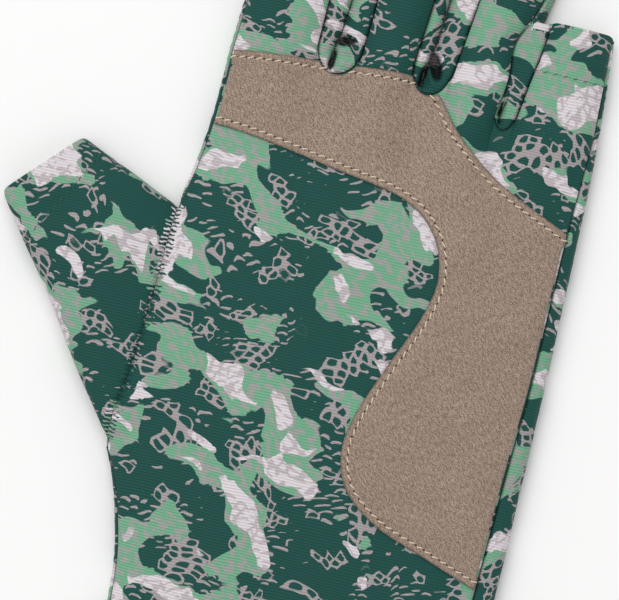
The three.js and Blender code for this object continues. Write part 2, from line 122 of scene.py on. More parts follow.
# Palm panel
# One piece of printed stretch knit, from the cuff to the openings of the four fingers, with the
# slots between the fingers cut out of it. It is sewn to the back along both sides.

HAND_WIDTH = 0.100
HAND_LENGTH = 0.170
PALM_RISE = 0.012
SIDE_HEIGHT = 0.0074
LEFT_ROLL = 0.0037
LEFT_SEAM_IN = 0.0006
RIGHT_ROLL = 0.006
FINGER_RISE = 0.0094
FINGER_EDGE_RISE = 0.0064
KNUCKLE_BLEND = 0.028
THUMB_HOLE_START = 0.064
THUMB_HOLE_LENGTH = 0.063
THUMB_HOLE_RISE = 0.0093
THUMB_HOLE_FADE = 0.012
THUMB_LIFT_WIDTH = 0.026
THUMB_LIFT_START = 0.08
THUMB_LIFT_SLOWNESS = 5
HOLE_ROUNDNESS = 0.4
CROWN_POWER = 2.3
CROWN_FULLNESS = 0.75
CLOTH = 0.0009
SEAM_GAP = 0.00012
TINY = 1e-12

# Rows and columns of the sheets, and how far round a slot its sides begin
CUFF_ROWS = 46
HOLE_ROWS = 60
KNUCKLE_ROWS = 36
FINGER_ROWS = 48
PALM_CELLS = 26
SLOT_CELLS = 22
SLOT_JOIN = 0.95
SLOT_DEPTH_PART = 6
KNUCKLE_CROWDING = 1.6
KNUCKLE_SPREADING = 4
CORNER_DROP = 0.0009
CORNER_WIDTH = 0.0016

# Outline of the hand: along is a share of the hand's length, rise of the palm's, the rest of its width
HAND_SECTIONS = np.array(
    [
        # along, left, right, seam_in, rise
        (0.000, -0.482, 0.502, 0.058, 0.74),
        (0.188, -0.492, 0.500, 0.057, 0.86),
        (0.276, -0.523, 0.502, 0.056, 0.91),
        (0.329, -0.553, 0.503, 0.054, 0.94),
        (0.376, -0.584, 0.504, 0.052, 0.97),
        (0.482, -0.565, 0.504, 0.045, 1.00),
        (0.600, -0.549, 0.505, 0.036, 1.00),
        (0.747, -0.538, 0.503, 0.032, 0.97),
        (0.818, -0.518, 0.502, 0.030, 0.93),
        (0.894, -0.503, 0.501, 0.025, 0.88),
        (1.000, -0.498, 0.495, 0.011, 0.82),
    ]
)
INDEX_OUTLINE = -0.470
LITTLE_OUTLINE = 0.478
LITTLE_SEAM_IN = 0.004

# Fingers: reach past the knuckles in metres, middle as a share of the width, slope of the opening
FINGERS = [
    {"reach": 0.042, "middle": -0.342, "slope": 0.07},
    {"reach": 0.048, "middle": -0.073, "slope": 0.06},
    {"reach": 0.044, "middle": 0.196, "slope": 0.15},
    {"reach": 0.0253, "middle": 0.390, "slope": 0.010},
]

# Creases of the strips at the crotches: pits that sink to the back and lips that stand up. x is from
# the middle of the glove and y from the knuckles, length and width are half sizes, all in metres.
PITS = {
    # x, y, length, width, turn
    "index_middle": [(-0.0206, 0.0089, 0.0024, 0.00115, 8), (-0.0230, 0.0032, 0.0027, 0.00075, 84)],
    "middle_ring": [(0.0036, 0.0078, 0.0036, 0.00150, 112), (0.0010, 0.0046, 0.0030, 0.00075, 80)],
    "ring_little": [(0.0221, 0.0030, 0.0042, 0.00085, 97)],
}
LIPS = {
    # x, y, length, width, turn, rise
    "index_middle": [
        (-0.0196, 0.0068, 0.0030, 0.00090, 22, 0.0013),
        (-0.0203, 0.0026, 0.0022, 0.0015, 90, 0.0008),
    ],
    "middle_ring": [
        (0.0028, 0.0058, 0.0030, 0.00080, 108, 0.0013),
        (0.0052, 0.0035, 0.0020, 0.0011, 40, 0.0008),
    ],
    "ring_little": [(0.0240, 0.0024, 0.0028, 0.0010, 95, 0.0007)],
}

# Slots between the fingers, as shares of the hand's width: in the palm (open) and in the back (slit).
# pull is how far each side of a slot is drawn aside in metres, most at PULL_AT from the cuff.
# fold is how far the strip is folded over to the left.
SLOTS = [
    {"name": "index_middle", "drop": 0.000, "centre": -0.216, "width": 0.114, "open": (-0.264, -0.136),
     "valley": -0.216, "slit": (-0.206, -0.204), "pull": (0, 0), "fold": 0},
    {"name": "middle_ring", "drop": 0.000, "centre": 0.032, "width": 0.102, "open": (0.016, 0.130),
     "valley": 0.028, "slit": (0.047, 0.049), "pull": (0, 0), "fold": 0},
    {"name": "ring_little", "drop": 0.046, "centre": 0.244, "width": 0.052, "open": (0.295, 0.304),
     "valley": 0.244, "slit": (0.324, 0.302), "pull": (-0.0026, 0.0004), "fold": 0.0066},
]
PULL_AT = 0.188
PULL_LENGTH = 0.007
PULL_START = 0.2


def lerp(start, end, share):
    return start + (end - start) * share


def smoothstep(value, low, high):
    share = np.clip((value - low) / (high - low), 0, 1)
    return share * share * (3 - 2 * share)


def unit(vectors):
    """Vectors brought to length 1."""
    return vectors / np.maximum(np.linalg.norm(vectors, axis=-1, keepdims=True), TINY)


def arc_length(points):
    """Distance along a line of points, from its start to each of them."""
    return np.concatenate([[0], np.cumsum(np.linalg.norm(np.diff(points, axis=0), axis=1))])


def open_edges(faces):
    """Directed edges of the faces that no other face meets."""
    edges = {(face[i], face[(i + 1) % len(face)]) for face in faces for i in range(len(face))}
    return [edge for edge in edges if edge[::-1] not in edges]


def hand_curve(column):
    """One column of the hand's sections as a smooth function of the distance from the cuff."""
    along = HAND_SECTIONS[:, 0]
    values = HAND_SECTIONS[:, column]
    secant = np.diff(values) / np.diff(along)
    slope = np.empty(len(values))
    slope[1:-1] = (values[2:] - values[:-2]) / (along[2:] - along[:-2])
    slope[0] = 1.5 * secant[0] - 0.5 * slope[1]
    slope[-1] = 1.5 * secant[-1] - 0.5 * slope[-2]

    def at(y):
        place = np.clip(y / HAND_LENGTH, 0, 1)
        cell = np.clip(np.searchsorted(along, place) - 1, 0, len(along) - 2)
        step = along[cell + 1] - along[cell]
        share = (place - along[cell]) / step
        start_weight = (1 + 2 * share) * (1 - share) ** 2
        bend = share * (1 - share) * step * ((1 - share) * slope[cell] - share * slope[cell + 1])
        return start_weight * values[cell] + (1 - start_weight) * values[cell + 1] + bend

    return at


left_share = hand_curve(1)
right_share = hand_curve(2)
seam_in_share = hand_curve(3)
rise_share = hand_curve(4)
HOLE_END = THUMB_HOLE_START + THUMB_HOLE_LENGTH


def outline(share, tip, reach, y):
    return HAND_WIDTH * lerp(share(y), tip, np.maximum(0, (y - HAND_LENGTH) / reach))


def left_outline(y):
    return outline(left_share, INDEX_OUTLINE, FINGERS[0]["reach"], y)


def right_outline(y):
    return outline(right_share, LITTLE_OUTLINE, FINGERS[3]["reach"], y)


def hole_opening(y):
    """How far the left seam is opened by the thumb hole: 0 on the closed seam, 1 halfway along."""
    share = np.clip((y - THUMB_HOLE_START) / THUMB_HOLE_LENGTH, 0, 1)
    return np.sin(np.arccos(1 - 2 * share)) ** HOLE_ROUNDNESS


def left_seam_in(y):
    past = np.maximum(np.maximum(THUMB_HOLE_START - y, y - HOLE_END), 0)
    return LEFT_SEAM_IN * smoothstep(past, 0, THUMB_HOLE_FADE)


def roll_section(edge, inward, width, seam_in, turn):
    """Section of a rolled side, from the floor (turn 0) up to the seam (turn 1)."""
    top = np.arccos(1 - np.minimum(seam_in / width, 1))
    angle = lerp(-np.pi / 2, top, turn)
    return edge + inward * width * (1 - np.cos(angle)), SIDE_HEIGHT / 2 * (1 + np.sin(angle))


def right_roll(y, turn):
    on_finger = np.maximum(0, (y - HAND_LENGTH) / FINGERS[3]["reach"])
    seam_in = HAND_WIDTH * lerp(seam_in_share(y), LITTLE_SEAM_IN, np.minimum(on_finger, 1))
    return roll_section(right_outline(y), -1, RIGHT_ROLL, seam_in, turn)


def left_roll(y, turn):
    closed_x, closed_z = roll_section(left_outline(y), 1, LEFT_ROLL, left_seam_in(y), turn)
    flat = lerp(left_outline(y) + LEFT_ROLL, left_outline(y), turn)
    opened = hole_opening(y)
    return lerp(closed_x, flat, opened), closed_z * (1 - opened)


def left_palm_edge(y):
    seam_x, seam_z = roll_section(left_outline(y), 1, LEFT_ROLL, left_seam_in(y), 1)
    return seam_x, lerp(seam_z, THUMB_HOLE_RISE, hole_opening(y))


LEFT_SEAM_RISE = roll_section(0, 1, LEFT_ROLL, LEFT_SEAM_IN, 1)[1]


def crown(share):
    return (1 - np.abs(2 * share - 1) ** CROWN_POWER) ** CROWN_FULLNESS


def opening_y(finger, x):
    shape = FINGERS[finger]
    return HAND_LENGTH + shape["reach"] - shape["slope"] * (x - HAND_WIDTH * shape["middle"])


def slot_bottom(slot):
    return HAND_LENGTH - HAND_WIDTH * SLOTS[slot]["drop"]


def slot_depth(slot):
    """Height of the half round at the bottom of a slot."""
    return min(FINGERS[slot]["reach"], FINGERS[slot + 1]["reach"]) / SLOT_DEPTH_PART


def edge_of_opening(finger, x):
    """Y of an opening at the finger's two edges, where its corner is rounded off."""
    return opening_y(finger, x) - CORNER_DROP


def corner_fill(share, width):
    """How much of the corner's drop is made up, across the finger."""
    from_edge = np.minimum(share, 1 - share) * width / CORNER_WIDTH
    return CORNER_DROP * np.sqrt(1 - (1 - np.clip(from_edge, 0, 1)) ** 2)


def slot_round(slot, across):
    """Y of the half round, across from -1 to 1."""
    return slot_bottom(slot) + slot_depth(slot) * (1 - np.sqrt(1 - across**2))


def hand_row(row, row_end):
    """Y of a row of the hand. Rows crowd together at the two ends of the thumb hole."""
    in_cuff = THUMB_HOLE_START * row / CUFF_ROWS
    turn = np.clip((row - CUFF_ROWS) / HOLE_ROWS, 0, 1)
    in_hole = THUMB_HOLE_START + THUMB_HOLE_LENGTH * (1 - np.cos(np.pi * turn)) / 2
    to_knuckles = np.clip((row - CUFF_ROWS - HOLE_ROWS) / KNUCKLE_ROWS, 0, 1)
    past = lerp(HOLE_END, row_end, 1 - (1 - to_knuckles) ** KNUCKLE_CROWDING)
    return np.where(row <= CUFF_ROWS, in_cuff, np.where(row <= CUFF_ROWS + HOLE_ROWS, in_hole, past))


HAND_ROWS = CUFF_ROWS + HOLE_ROWS + KNUCKLE_ROWS
ALL_ROWS = HAND_ROWS + FINGER_ROWS
LEFT_ROW_END = slot_round(0, SLOT_JOIN)
RIGHT_ROW_END = slot_round(2, SLOT_JOIN)


def side_seam_y(row, row_end, finger, tip):
    share = (row - HAND_ROWS) / FINGER_ROWS
    on_finger = lerp(row_end, edge_of_opening(finger, HAND_WIDTH * tip), share)
    return np.where(row <= HAND_ROWS, hand_row(row, row_end), on_finger)


def left_seam_y(row):
    return side_seam_y(row, LEFT_ROW_END, 0, INDEX_OUTLINE)


def right_seam_y(row):
    return side_seam_y(row, RIGHT_ROW_END, 3, LITTLE_OUTLINE)


def slot_side(slot, side, share):
    """Side of a slot in the palm, from its half round (share 0) to the opening. side 0 left, 1 right."""
    shape = SLOTS[slot]
    middle = HAND_WIDTH * shape["centre"]
    tip = HAND_WIDTH * shape["open"][side]
    start = slot_round(slot, SLOT_JOIN)
    y = lerp(start, edge_of_opening(slot + side, tip), share)
    rise = np.clip((y - slot_bottom(slot)) / slot_depth(slot), 0, 1)
    straight = lerp((side * 2 - 1) * HAND_WIDTH * shape["width"] / 2, tip - middle, share)
    pulled = shape["pull"][side] * np.exp(-(((y - PULL_AT) / PULL_LENGTH) ** 2))
    return middle + straight * np.sqrt(1 - (1 - rise) ** 2) + pulled * smoothstep(share, 0, PULL_START), y


def comb_columns(cells):
    """Columns of a panel with four fingers: (finger, share) and, in the slots, (slot, across)."""
    columns = []
    for finger in range(4):
        crowded = (1 - np.cos(np.linspace(0, np.pi, cells + 1))) / 2
        columns += [("finger", finger, share) for share in crowded]
        if finger < 3:
            turn = np.arcsin(SLOT_JOIN)
            inner = np.sin(np.linspace(-turn, turn, SLOT_CELLS + 1))[1:-1]
            columns += [("slot", finger, across) for across in inner]
    return columns


palm_columns = comb_columns(PALM_CELLS)


def palm_edge(finger, side, row):
    """Edge of the palm side of a finger: a side seam, or the edge of a slot."""
    if finger == 0 and side == 0:
        y = left_seam_y(row)
        x, z = left_palm_edge(y)
        return np.array([x, y, z])
    if finger == 3 and side == 1:
        y = right_seam_y(row)
        x, z = right_roll(y, 1)
        return np.array([x, y, z])
    x, y = slot_side(finger - 1 + side, 1 - side, (row - HAND_ROWS) / FINGER_ROWS)
    return np.array([x, y, FINGER_EDGE_RISE + 0 * y])


def palm_finger_point(kind, index, place, row):
    if kind == "slot":
        x = HAND_WIDTH * (SLOTS[index]["centre"] + place * SLOTS[index]["width"] / 2)
        return np.array([x, slot_round(index, place), FINGER_EDGE_RISE])
    left, right = palm_edge(index, 0, row), palm_edge(index, 1, row)
    point = lerp(left, right, place)
    point[1] += corner_fill(place, right[0] - left[0]) * np.maximum(row - HAND_ROWS, 0) / FINGER_ROWS
    point[2] += (FINGER_RISE - point[2]) * crown(place)
    return point


palm_ends = np.array([palm_finger_point(*column, HAND_ROWS) for column in palm_columns])
end_crowns = np.array([crown(place) if kind == "finger" else 0 for kind, _, place in palm_columns])


def palm_hand_points(row):
    """One row of the palm below the knuckles: a shallow crown that turns into one for each finger."""
    first, last = palm_ends[0], palm_ends[-1]
    share = (palm_ends[:, 0] - first[0]) / (last[0] - first[0])
    y = hand_row(row, palm_ends[:, 1])
    left_x, left_z = left_palm_edge(y)
    right_x, right_z = right_roll(y, 1)
    x = lerp(left_x, right_x, share)
    lift_width = THUMB_LIFT_WIDTH * lerp(THUMB_LIFT_START, 1, hole_opening(y) ** THUMB_LIFT_SLOWNESS)
    lift = (left_z - LEFT_SEAM_RISE) * (1 - smoothstep((x - left_x) / lift_width, 0, 1))
    edge = lerp(LEFT_SEAM_RISE, right_z, share) + lift
    hand_crown = (PALM_RISE * rise_share(y) - edge) * crown(share)
    finger_crown = palm_ends[:, 2] - lerp(first[2], last[2], share)
    knuckles = smoothstep(y, palm_ends[:, 1] - KNUCKLE_BLEND, palm_ends[:, 1])
    finger_crown *= lerp(end_crowns**2, 1, knuckles**KNUCKLE_SPREADING)
    return np.stack([x, y, edge + lerp(hand_crown, finger_crown, knuckles)], axis=1)


class Sheet:
    """A grid of points of cloth, seen from outside, with the cells that are cloth."""

    def __init__(self, grid, has_cell=None, flipped=False, closed=False):
        rows, columns = grid.shape[:2]
        self.grid = grid
        numbers = np.arange(rows * columns).reshape(rows, columns)
        if closed:
            numbers = np.concatenate([numbers, numbers[:, :1]], axis=1)
        cells = np.stack([numbers[:-1, :-1], numbers[:-1, 1:], numbers[1:, 1:], numbers[1:, :-1]], axis=2)
        if has_cell is not None:
            cells = cells[has_cell]
        cells = cells.reshape(-1, 4)
        self.cells = cells[:, ::-1] if flipped else cells
        self.points = grid.reshape(-1, 3).copy()
        self.cloth = self.points[:, :2].copy()
        self.walls = self.own_normals()
        self.inset = np.zeros_like(self.points)
        self.depth = np.zeros(len(self.points))
        self.turned = np.zeros(len(self.points))
        self.rim = open_edges(self.cells.tolist())

    def own_normals(self):
        a, b, c, d = (self.points[self.cells[:, corner]] for corner in range(4))
        cell_normals = np.cross(c - a, d - b)
        normals = np.zeros_like(self.points)
        for corner in range(4):
            np.add.at(normals, self.cells[:, corner], cell_normals)
        return unit(normals)


def comb_sheet(columns, hand_points, finger_point, flipped=False, sides=0):
    """Sheet of a panel with four fingers. sides counts the columns of a rolled side."""
    grid = np.zeros((ALL_ROWS + 1, len(columns) + 2 * sides, 3))
    for row in range(ALL_ROWS + 1):
        if row <= HAND_ROWS:
            grid[row] = hand_points(row)
        else:
            grid[row] = finger_point(row)
    plain = [("side", 0, 0)] * sides
    kinds = plain + columns + plain
    joined = [
        a[0] != "slot" and b[0] != "slot" and (a[:2] == b[:2] or "side" in (a[0], b[0]))
        for a, b in zip(kinds, kinds[1:])
    ]
    has_cell = np.ones((ALL_ROWS, len(kinds) - 1), bool)
    has_cell[HAND_ROWS:, :] = joined
    return Sheet(grid, has_cell, flipped)


def palm_finger_row(row):
    return np.array([palm_finger_point(*column, row) for column in palm_columns])


palm_sheet = comb_sheet(palm_columns, palm_hand_points, palm_finger_row)


# Back panel
# The same knit, flat on the floor and rolled up to the seams at both sides, so that a strip of it
# shows beside the palm. Slits between the fingers meet the strips that come down from the palm.

CROTCH_LEAN = 0.0016
SLIT_WIDTH = 0.0002
VALLEY_HOOK = 0.0015
VALLEY_HOOK_LENGTH = 0.008
SLIT_RISE = 0.0016
SLIT_FADE = 0.010
LIP_WIDTH = 0.0035
ROLL_CELLS = 12

back_columns = comb_columns(PALM_CELLS)
roll_turns = (np.arange(ROLL_CELLS) + 1) / ROLL_CELLS


def back_edge(finger, side, row):
    """Edge of a finger's back: the foot of a roll, or the lip of a slit."""
    if finger == 0 and side == 0:
        y = left_seam_y(row)
        return np.array([left_roll(y, 0)[0], y, 0 * y])
    if finger == 3 and side == 1:
        y = right_seam_y(row)
        return np.array([right_roll(y, 0)[0], y, 0 * y])
    slot = finger - 1 + side
    shape = SLOTS[slot]
    tip = HAND_WIDTH * shape["slit"][1 - side]
    base = HAND_WIDTH * shape["valley"] + (1 - 2 * side) * SLOT_JOIN * SLIT_WIDTH / 2
    share = (row - HAND_ROWS) / FINGER_ROWS
    y = lerp(slot_round(slot, SLOT_JOIN) + CROTCH_LEAN, edge_of_opening(finger, tip), share)
    hook = VALLEY_HOOK * np.exp(-share * FINGERS[finger]["reach"] / VALLEY_HOOK_LENGTH)
    return np.array([lerp(base, tip, share) - hook, y, SLIT_RISE + 0 * y])


def back_finger_point(kind, index, place, row):
    if kind == "slot":
        x = HAND_WIDTH * SLOTS[index]["valley"] + place * SLIT_WIDTH / 2 - VALLEY_HOOK
        return np.array([x, slot_round(index, place) + CROTCH_LEAN, SLIT_RISE])
    left, right = back_edge(index, 0, row), back_edge(index, 1, row)
    point = lerp(left, right, place)
    width = right[0] - left[0]
    point[1] += corner_fill(place, width) * np.maximum(row - HAND_ROWS, 0) / FINGER_ROWS
    from_left = left[2] * (1 - smoothstep(place * width, 0, LIP_WIDTH))
    from_right = right[2] * (1 - smoothstep((1 - place) * width, 0, LIP_WIDTH))
    point[2] = from_left + from_right
    return point


back_ends = np.array([back_finger_point(*column, HAND_ROWS) for column in back_columns])


def with_rolls(row, middle):
    """A row of the back panel with its two rolled sides."""
    left_y, right_y = left_seam_y(row), right_seam_y(row)
    left = [(*left_roll(left_y, turn), left_y) for turn in roll_turns[::-1]]
    right = [(*right_roll(right_y, turn), right_y) for turn in roll_turns]
    return np.concatenate([np.array(left)[:, [0, 2, 1]], middle, np.array(right)[:, [0, 2, 1]]])


def back_hand_points(row):
    first, last = back_ends[0], back_ends[-1]
    share = (back_ends[:, 0] - first[0]) / (last[0] - first[0])
    y = hand_row(row, back_ends[:, 1])
    x = lerp(left_roll(y, 0)[0], right_roll(y, 0)[0], share)
    z = back_ends[:, 2] * smoothstep(y, back_ends[:, 1] - SLIT_FADE, back_ends[:, 1])
    return with_rolls(row, np.stack([x, y, z], axis=1))


def back_finger_row(row):
    return with_rolls(row, np.array([back_finger_point(*column, row) for column in back_columns]))


back_sheet = comb_sheet(back_columns, back_hand_points, back_finger_row, flipped=True, sides=ROLL_CELLS)

# The print runs round the rolled sides: across the cloth it is measured along each row
along_row = np.array([arc_length(row) for row in back_sheet.grid[..., [0, 2]]])
middle_column = back_sheet.grid.shape[1] // 2
row_start = back_sheet.grid[:, middle_column, :1] - along_row[:, middle_column, None]
back_sheet.cloth[:, 0] = (along_row + row_start).ravel()


# Strips between the fingers
# Three narrow strips of the same knit, each folded round a crotch. A strip is sewn to the edge of
# the slot in the palm, swells out from there, and dives into the slit in the back.

STRIP_CELLS = 30
STRIP_SHOULDER = 0.66
STRIP_CROWDING = 1.35
STRIP_UNDER = 0.0009
FOLD_GROWTH = (0.15, 0.75)
TURNED_END = 0.0016
PIT_FLOOR = 0.0030
PIT_STEEPNESS = 2


def strip_stations(slot):
    """Rows and columns of the palm and the back that a strip is sewn to, from opening to opening."""
    middle_columns = [i for i, column in enumerate(palm_columns) if column[:2] == ("slot", slot)]
    first, last = middle_columns[0] - 1, middle_columns[-1] + 1
    down = [(row, first) for row in range(ALL_ROWS, HAND_ROWS - 1, -1)]
    bottom = [(HAND_ROWS, column) for column in middle_columns]
    up = [(row, last) for row in range(HAND_ROWS, ALL_ROWS + 1)]
    return down + bottom + up


def crease_place(crease, x, y):
    """Where points lie in a crease, along and across it, counted in its half sizes."""
    from_x, from_y = x - crease[0], y - crease[1]
    cosine, sine = math.cos(math.radians(crease[4])), math.sin(math.radians(crease[4]))
    return (from_x * cosine + from_y * sine) / crease[2], (from_y * cosine - from_x * sine) / crease[3]


def creased(rows, name):
    """Rows of points of a strip with its creases pressed in, and how deep in a pit each point is."""
    x, y, z = rows[..., 0], rows[..., 1] - HAND_LENGTH, rows[..., 2]
    depth = 0 * z
    free = np.sin(np.pi * np.clip(np.arange(len(rows)) / (len(rows) - 1), 0, 0.5))[:, None]
    for pit in PITS[name]:
        along, across = crease_place(pit, x, y)
        inside = np.exp(-((along**2 + across**2) ** PIT_STEEPNESS)) * np.minimum(1, 2 * free)
        z = z + (np.minimum(z, PIT_FLOOR) - z) * inside
        depth = np.maximum(depth, inside)
    for lip in LIPS[name]:
        along, across = crease_place(lip, x, y)
        above_pit = smoothstep(z, PIT_FLOOR, 2 * PIT_FLOOR)
        z = z + lip[5] * np.exp(-(along**2) - across**2) * free * above_pit
    return np.stack([x, rows[..., 1], z], axis=-1), depth


def strip_sheet(slot):
    stations = strip_stations(slot)
    upper = np.array([palm_sheet.grid[row, column] for row, column in stations])
    lower = np.array([back_sheet.grid[row, column + ROLL_CELLS] for row, column in stations])
    # The strip beside the little finger is folded over the side of the ring finger
    left_half = np.arange(len(stations)) < len(stations) / 2
    from_crotch = np.abs(np.arange(len(stations)) - (len(stations) - 1) / 2) / (len(stations) / 2)
    grown = smoothstep(from_crotch, *FOLD_GROWTH)
    aside = np.where(left_half, -STRIP_UNDER, -SLOTS[slot]["fold"]) * grown * (SLOTS[slot]["fold"] > 0)
    rows = []
    for line in range(STRIP_CELLS + 1):
        angle = np.pi / 2 * (line / STRIP_CELLS) ** STRIP_CROWDING
        out = np.sin(angle) ** STRIP_SHOULDER
        down = 1 - np.cos(angle) ** STRIP_SHOULDER
        row = upper + (lower - upper) * np.array([out, out, down])
        row[:, 0] += aside * np.sin(2 * angle) ** STRIP_SHOULDER
        rows.append(row)
    points, depth = creased(np.array(rows), SLOTS[slot]["name"])
    sheet = Sheet(points)
    # How deep in a pit each point lies; the shaders darken the colour there as painted shade
    sheet.depth = depth.ravel()
    # Beside the little finger the strip's end is turned over and shows the unprinted side; here the end is
    # only coloured with the print's off-white
    if SLOTS[slot]["fold"]:
        at_end = ~left_half & (points[..., 1] > points[:, -1:, 1] - TURNED_END)
        sheet.turned = at_end.astype(float).ravel()
    return sheet


strip_sheets = [strip_sheet(slot) for slot in range(3)]


# Thumb sleeve
# A short sleeve of the same knit, drawn from the thumb hole out to an oval opening that leans away
# from the hand. Its seam with the palm is gathered and looks like a ladder of short rungs.

THUMB_LENGTH = 0.0489
THUMB_LEAN = math.radians(45.4)
THUMB_OPENING = 0.0256
THUMB_OPENING_TURN = math.radians(46.3)
THUMB_CORNER = 0.0013
THUMB_RISE = 0.009
THUMB_CROWN = 0.0013
OPENING_ROUNDNESS = 0.6
THUMB_ROWS = 42


def thumb_ring(share):
    """One ring of the sleeve: up the palm side of the hole, and back down the side on the floor."""
    turn = np.concatenate([np.arange(HOLE_ROWS + 1), np.arange(HOLE_ROWS - 1, 0, -1)])
    above = np.arange(2 * HOLE_ROWS) <= HOLE_ROWS
    y = hand_row(CUFF_ROWS + turn, HAND_LENGTH)
    upper, lower = left_palm_edge(y), left_roll(y, 1)
    base = np.stack([np.where(above, upper[0], lower[0]), y, np.where(above, upper[1], lower[1])], axis=1)
    hole_middle = THUMB_HOLE_START + THUMB_HOLE_LENGTH / 2
    tip_x = left_palm_edge(hole_middle)[0] - THUMB_LENGTH * math.sin(THUMB_LEAN)
    tip_y = hole_middle + THUMB_LENGTH * math.cos(THUMB_LEAN)
    angle = np.pi * turn / HOLE_ROWS
    along = -np.cos(angle) * THUMB_OPENING / 2
    lift = np.abs(np.sin(angle)) ** OPENING_ROUNDNESS * np.where(above, 1, -1)
    tip_x = tip_x + along * math.cos(THUMB_OPENING_TURN)
    tip_y = tip_y + along * math.sin(THUMB_OPENING_TURN)
    tip = np.stack([tip_x, tip_y, THUMB_RISE / 2 * (1 + lift)], axis=1)
    past_corner = np.clip((np.abs(along) - THUMB_OPENING / 2 + THUMB_CORNER) / THUMB_CORNER, 0, 1)
    rounded = 1 - THUMB_CORNER / THUMB_LENGTH * (1 - np.sqrt(1 - past_corner**2))
    ring = lerp(base, tip, (share * rounded)[:, None])
    ring[:, 2] += np.where(above, THUMB_CROWN * math.sin(math.pi * share) * hole_opening(y), 0)
    return ring


thumb_sheet = Sheet(np.array([thumb_ring(row / THUMB_ROWS) for row in range(THUMB_ROWS + 1)]), closed=True)
# The print runs down the sleeve's sides: what is lower there lies further out on the flat cloth
thumb_sheet.cloth += thumb_sheet.walls[:, :2] * (THUMB_RISE - thumb_sheet.points[:, 2:])


# Sewing
# Points of two or three panels that lie in one place are sewn together there. Their walls share
# one mean direction, and each panel is held back from the seam by half a hair.

ALL_SHEETS = [palm_sheet, back_sheet, thumb_sheet, *strip_sheets]
PLACES_PER_METRE = 1000000


def place_key(point):
    return tuple(np.round(point * PLACES_PER_METRE).astype(int).tolist())


meeting = {}
rim_keys = set()
for sheet in ALL_SHEETS:
    keys = {vertex: place_key(sheet.points[vertex]) for edge in sheet.rim for vertex in edge}
    sheet.keys = keys
    for start, end in sheet.rim:
        rim_keys.add((keys[start], keys[end]))
        meeting.setdefault(keys[start], []).append(sheet.walls[start])

for sheet in ALL_SHEETS:
    away = {}
    sheet.sewn, sheet.opened = [], []
    for start, end in sheet.rim:
        sewn = (sheet.keys[end], sheet.keys[start]) in rim_keys
        (sheet.sewn if sewn else sheet.opened).append((start, end))
    for vertex, key in sheet.keys.items():
        normals = meeting.get(key, [sheet.walls[vertex]])
        sheet.walls[vertex] = unit(np.sum(normals, axis=0))
    for start, end in sheet.rim:
        along = sheet.points[end] - sheet.points[start]
        for vertex in (start, end):
            away.setdefault(vertex, []).append(unit(np.cross(sheet.walls[vertex], along)))
    for vertex, inwards in away.items():
        sheet.inset[vertex] = unit(np.sum(inwards, axis=0))


# Where the sheets go in the frame: the palm's cuff edge and the widest point of the hand's right side
widest = HAND_WIDTH * HAND_SECTIONS[:, 2].max()
SHIFT = np.array([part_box("back_panel")[1][0] - widest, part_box("palm_panel")[0][1], 0])


def nearest(points, targets):
    """Number of the nearest target of each point, and the distance to it."""
    tree = kdtree.KDTree(len(targets))
    for number, target in enumerate(targets):
        tree.insert(target, number)
    tree.balance()
    found = [tree.find(point) for point in points]
    return np.array([hit[1] for hit in found]), np.array([hit[2] for hit in found])


GATHER_STEPS = 400
gather_y = np.linspace(THUMB_HOLE_START, HOLE_END, GATHER_STEPS)
gather_x, gather_z = left_palm_edge(gather_y)
gather_line = np.stack([gather_x, gather_y, gather_z], axis=1)
gather_along = arc_length(gather_line)


SEAM_DIP = 0.00042
SEAM_DIP_WIDTH = 0.0005
PUCKER = 0.00010
PUCKER_PITCH = 0.0027
PUCKER_REACH = 0.0045
PUCKER_CLEAR = 0.001
PUCKER_SWAY = 1.3
PUCKER_SWAY_LENGTH = 0.006
PUCKER_LEAN_LENGTH = 0.004
HEM_DEPTH = 0.010
HEM_DIP = 0.00022
HEM_DIP_WIDTH = 0.0007
BILLOW = 0.00028
BILLOW_PITCH = 0.034
BILLOW_SLANT = 0.6
BILLOW_LONG_PITCH = 0.0442
BILLOW_LONG_SLANT = 0.3
BILLOW_CLEAR = 0.012
GATHER_DIP = 0.00035
GATHER_DIP_WIDTH = 0.0016
GATHER_GAP = 0.00002
PLAIN_SEAM_FROM = 0.0010
RIM_TURNS = 4
SEWN_RIM_ROUNDING = 0.15


def relief(sheet, hem):
    """Low folds of a panel: a groove along each seam, puckers beside it, and a line at each hem."""
    x, y = sheet.points[:, 0], sheet.points[:, 1]
    height = -SEAM_DIP * np.exp(-((sheet.to_seam / SEAM_DIP_WIDTH) ** 2))
    height -= GATHER_DIP * np.exp(-((sheet.ladder[:, 1] / GATHER_DIP_WIDTH) ** 2))
    sway = PUCKER_SWAY * np.sin(y / PUCKER_SWAY_LENGTH) + x / PUCKER_LEAN_LENGTH
    wave = np.sin(2 * np.pi * y / PUCKER_PITCH + sway)
    near = np.exp(-((sheet.to_seam / PUCKER_REACH) ** 2))
    clear = 1 - np.exp(-((sheet.to_seam / PUCKER_CLEAR) ** 2))
    height += PUCKER * wave * near * clear
    if hem:
        to_opening = nearest(sheet.points, [sheet.points[start] for start, end in sheet.opened])[1]
        height -= HEM_DIP * np.exp(-(((to_opening - HEM_DEPTH) / HEM_DIP_WIDTH) ** 2))
    over = np.sin(2 * np.pi * (x + BILLOW_SLANT * y) / BILLOW_PITCH)
    up = np.sin(2 * np.pi * (y - BILLOW_LONG_SLANT * x) / BILLOW_LONG_PITCH)
    return height + BILLOW * over * up * smoothstep(sheet.to_seam, 0, BILLOW_CLEAR)


def measure_seams(sheet):
    """Distance of each point to the plain seams, and its place beside the gathered thumb seam."""
    number, across = nearest(sheet.points, gather_line)
    sheet.ladder = np.stack([gather_along[number], across, 0 * across], axis=1)
    starts = np.array([sheet.points[start] for start, end in sheet.sewn])
    plain = starts[nearest(starts, gather_line)[1] > PLAIN_SEAM_FROM]
    sheet.to_seam = nearest(sheet.points, plain)[1] if len(plain) else np.full(len(sheet.points), 1.0)


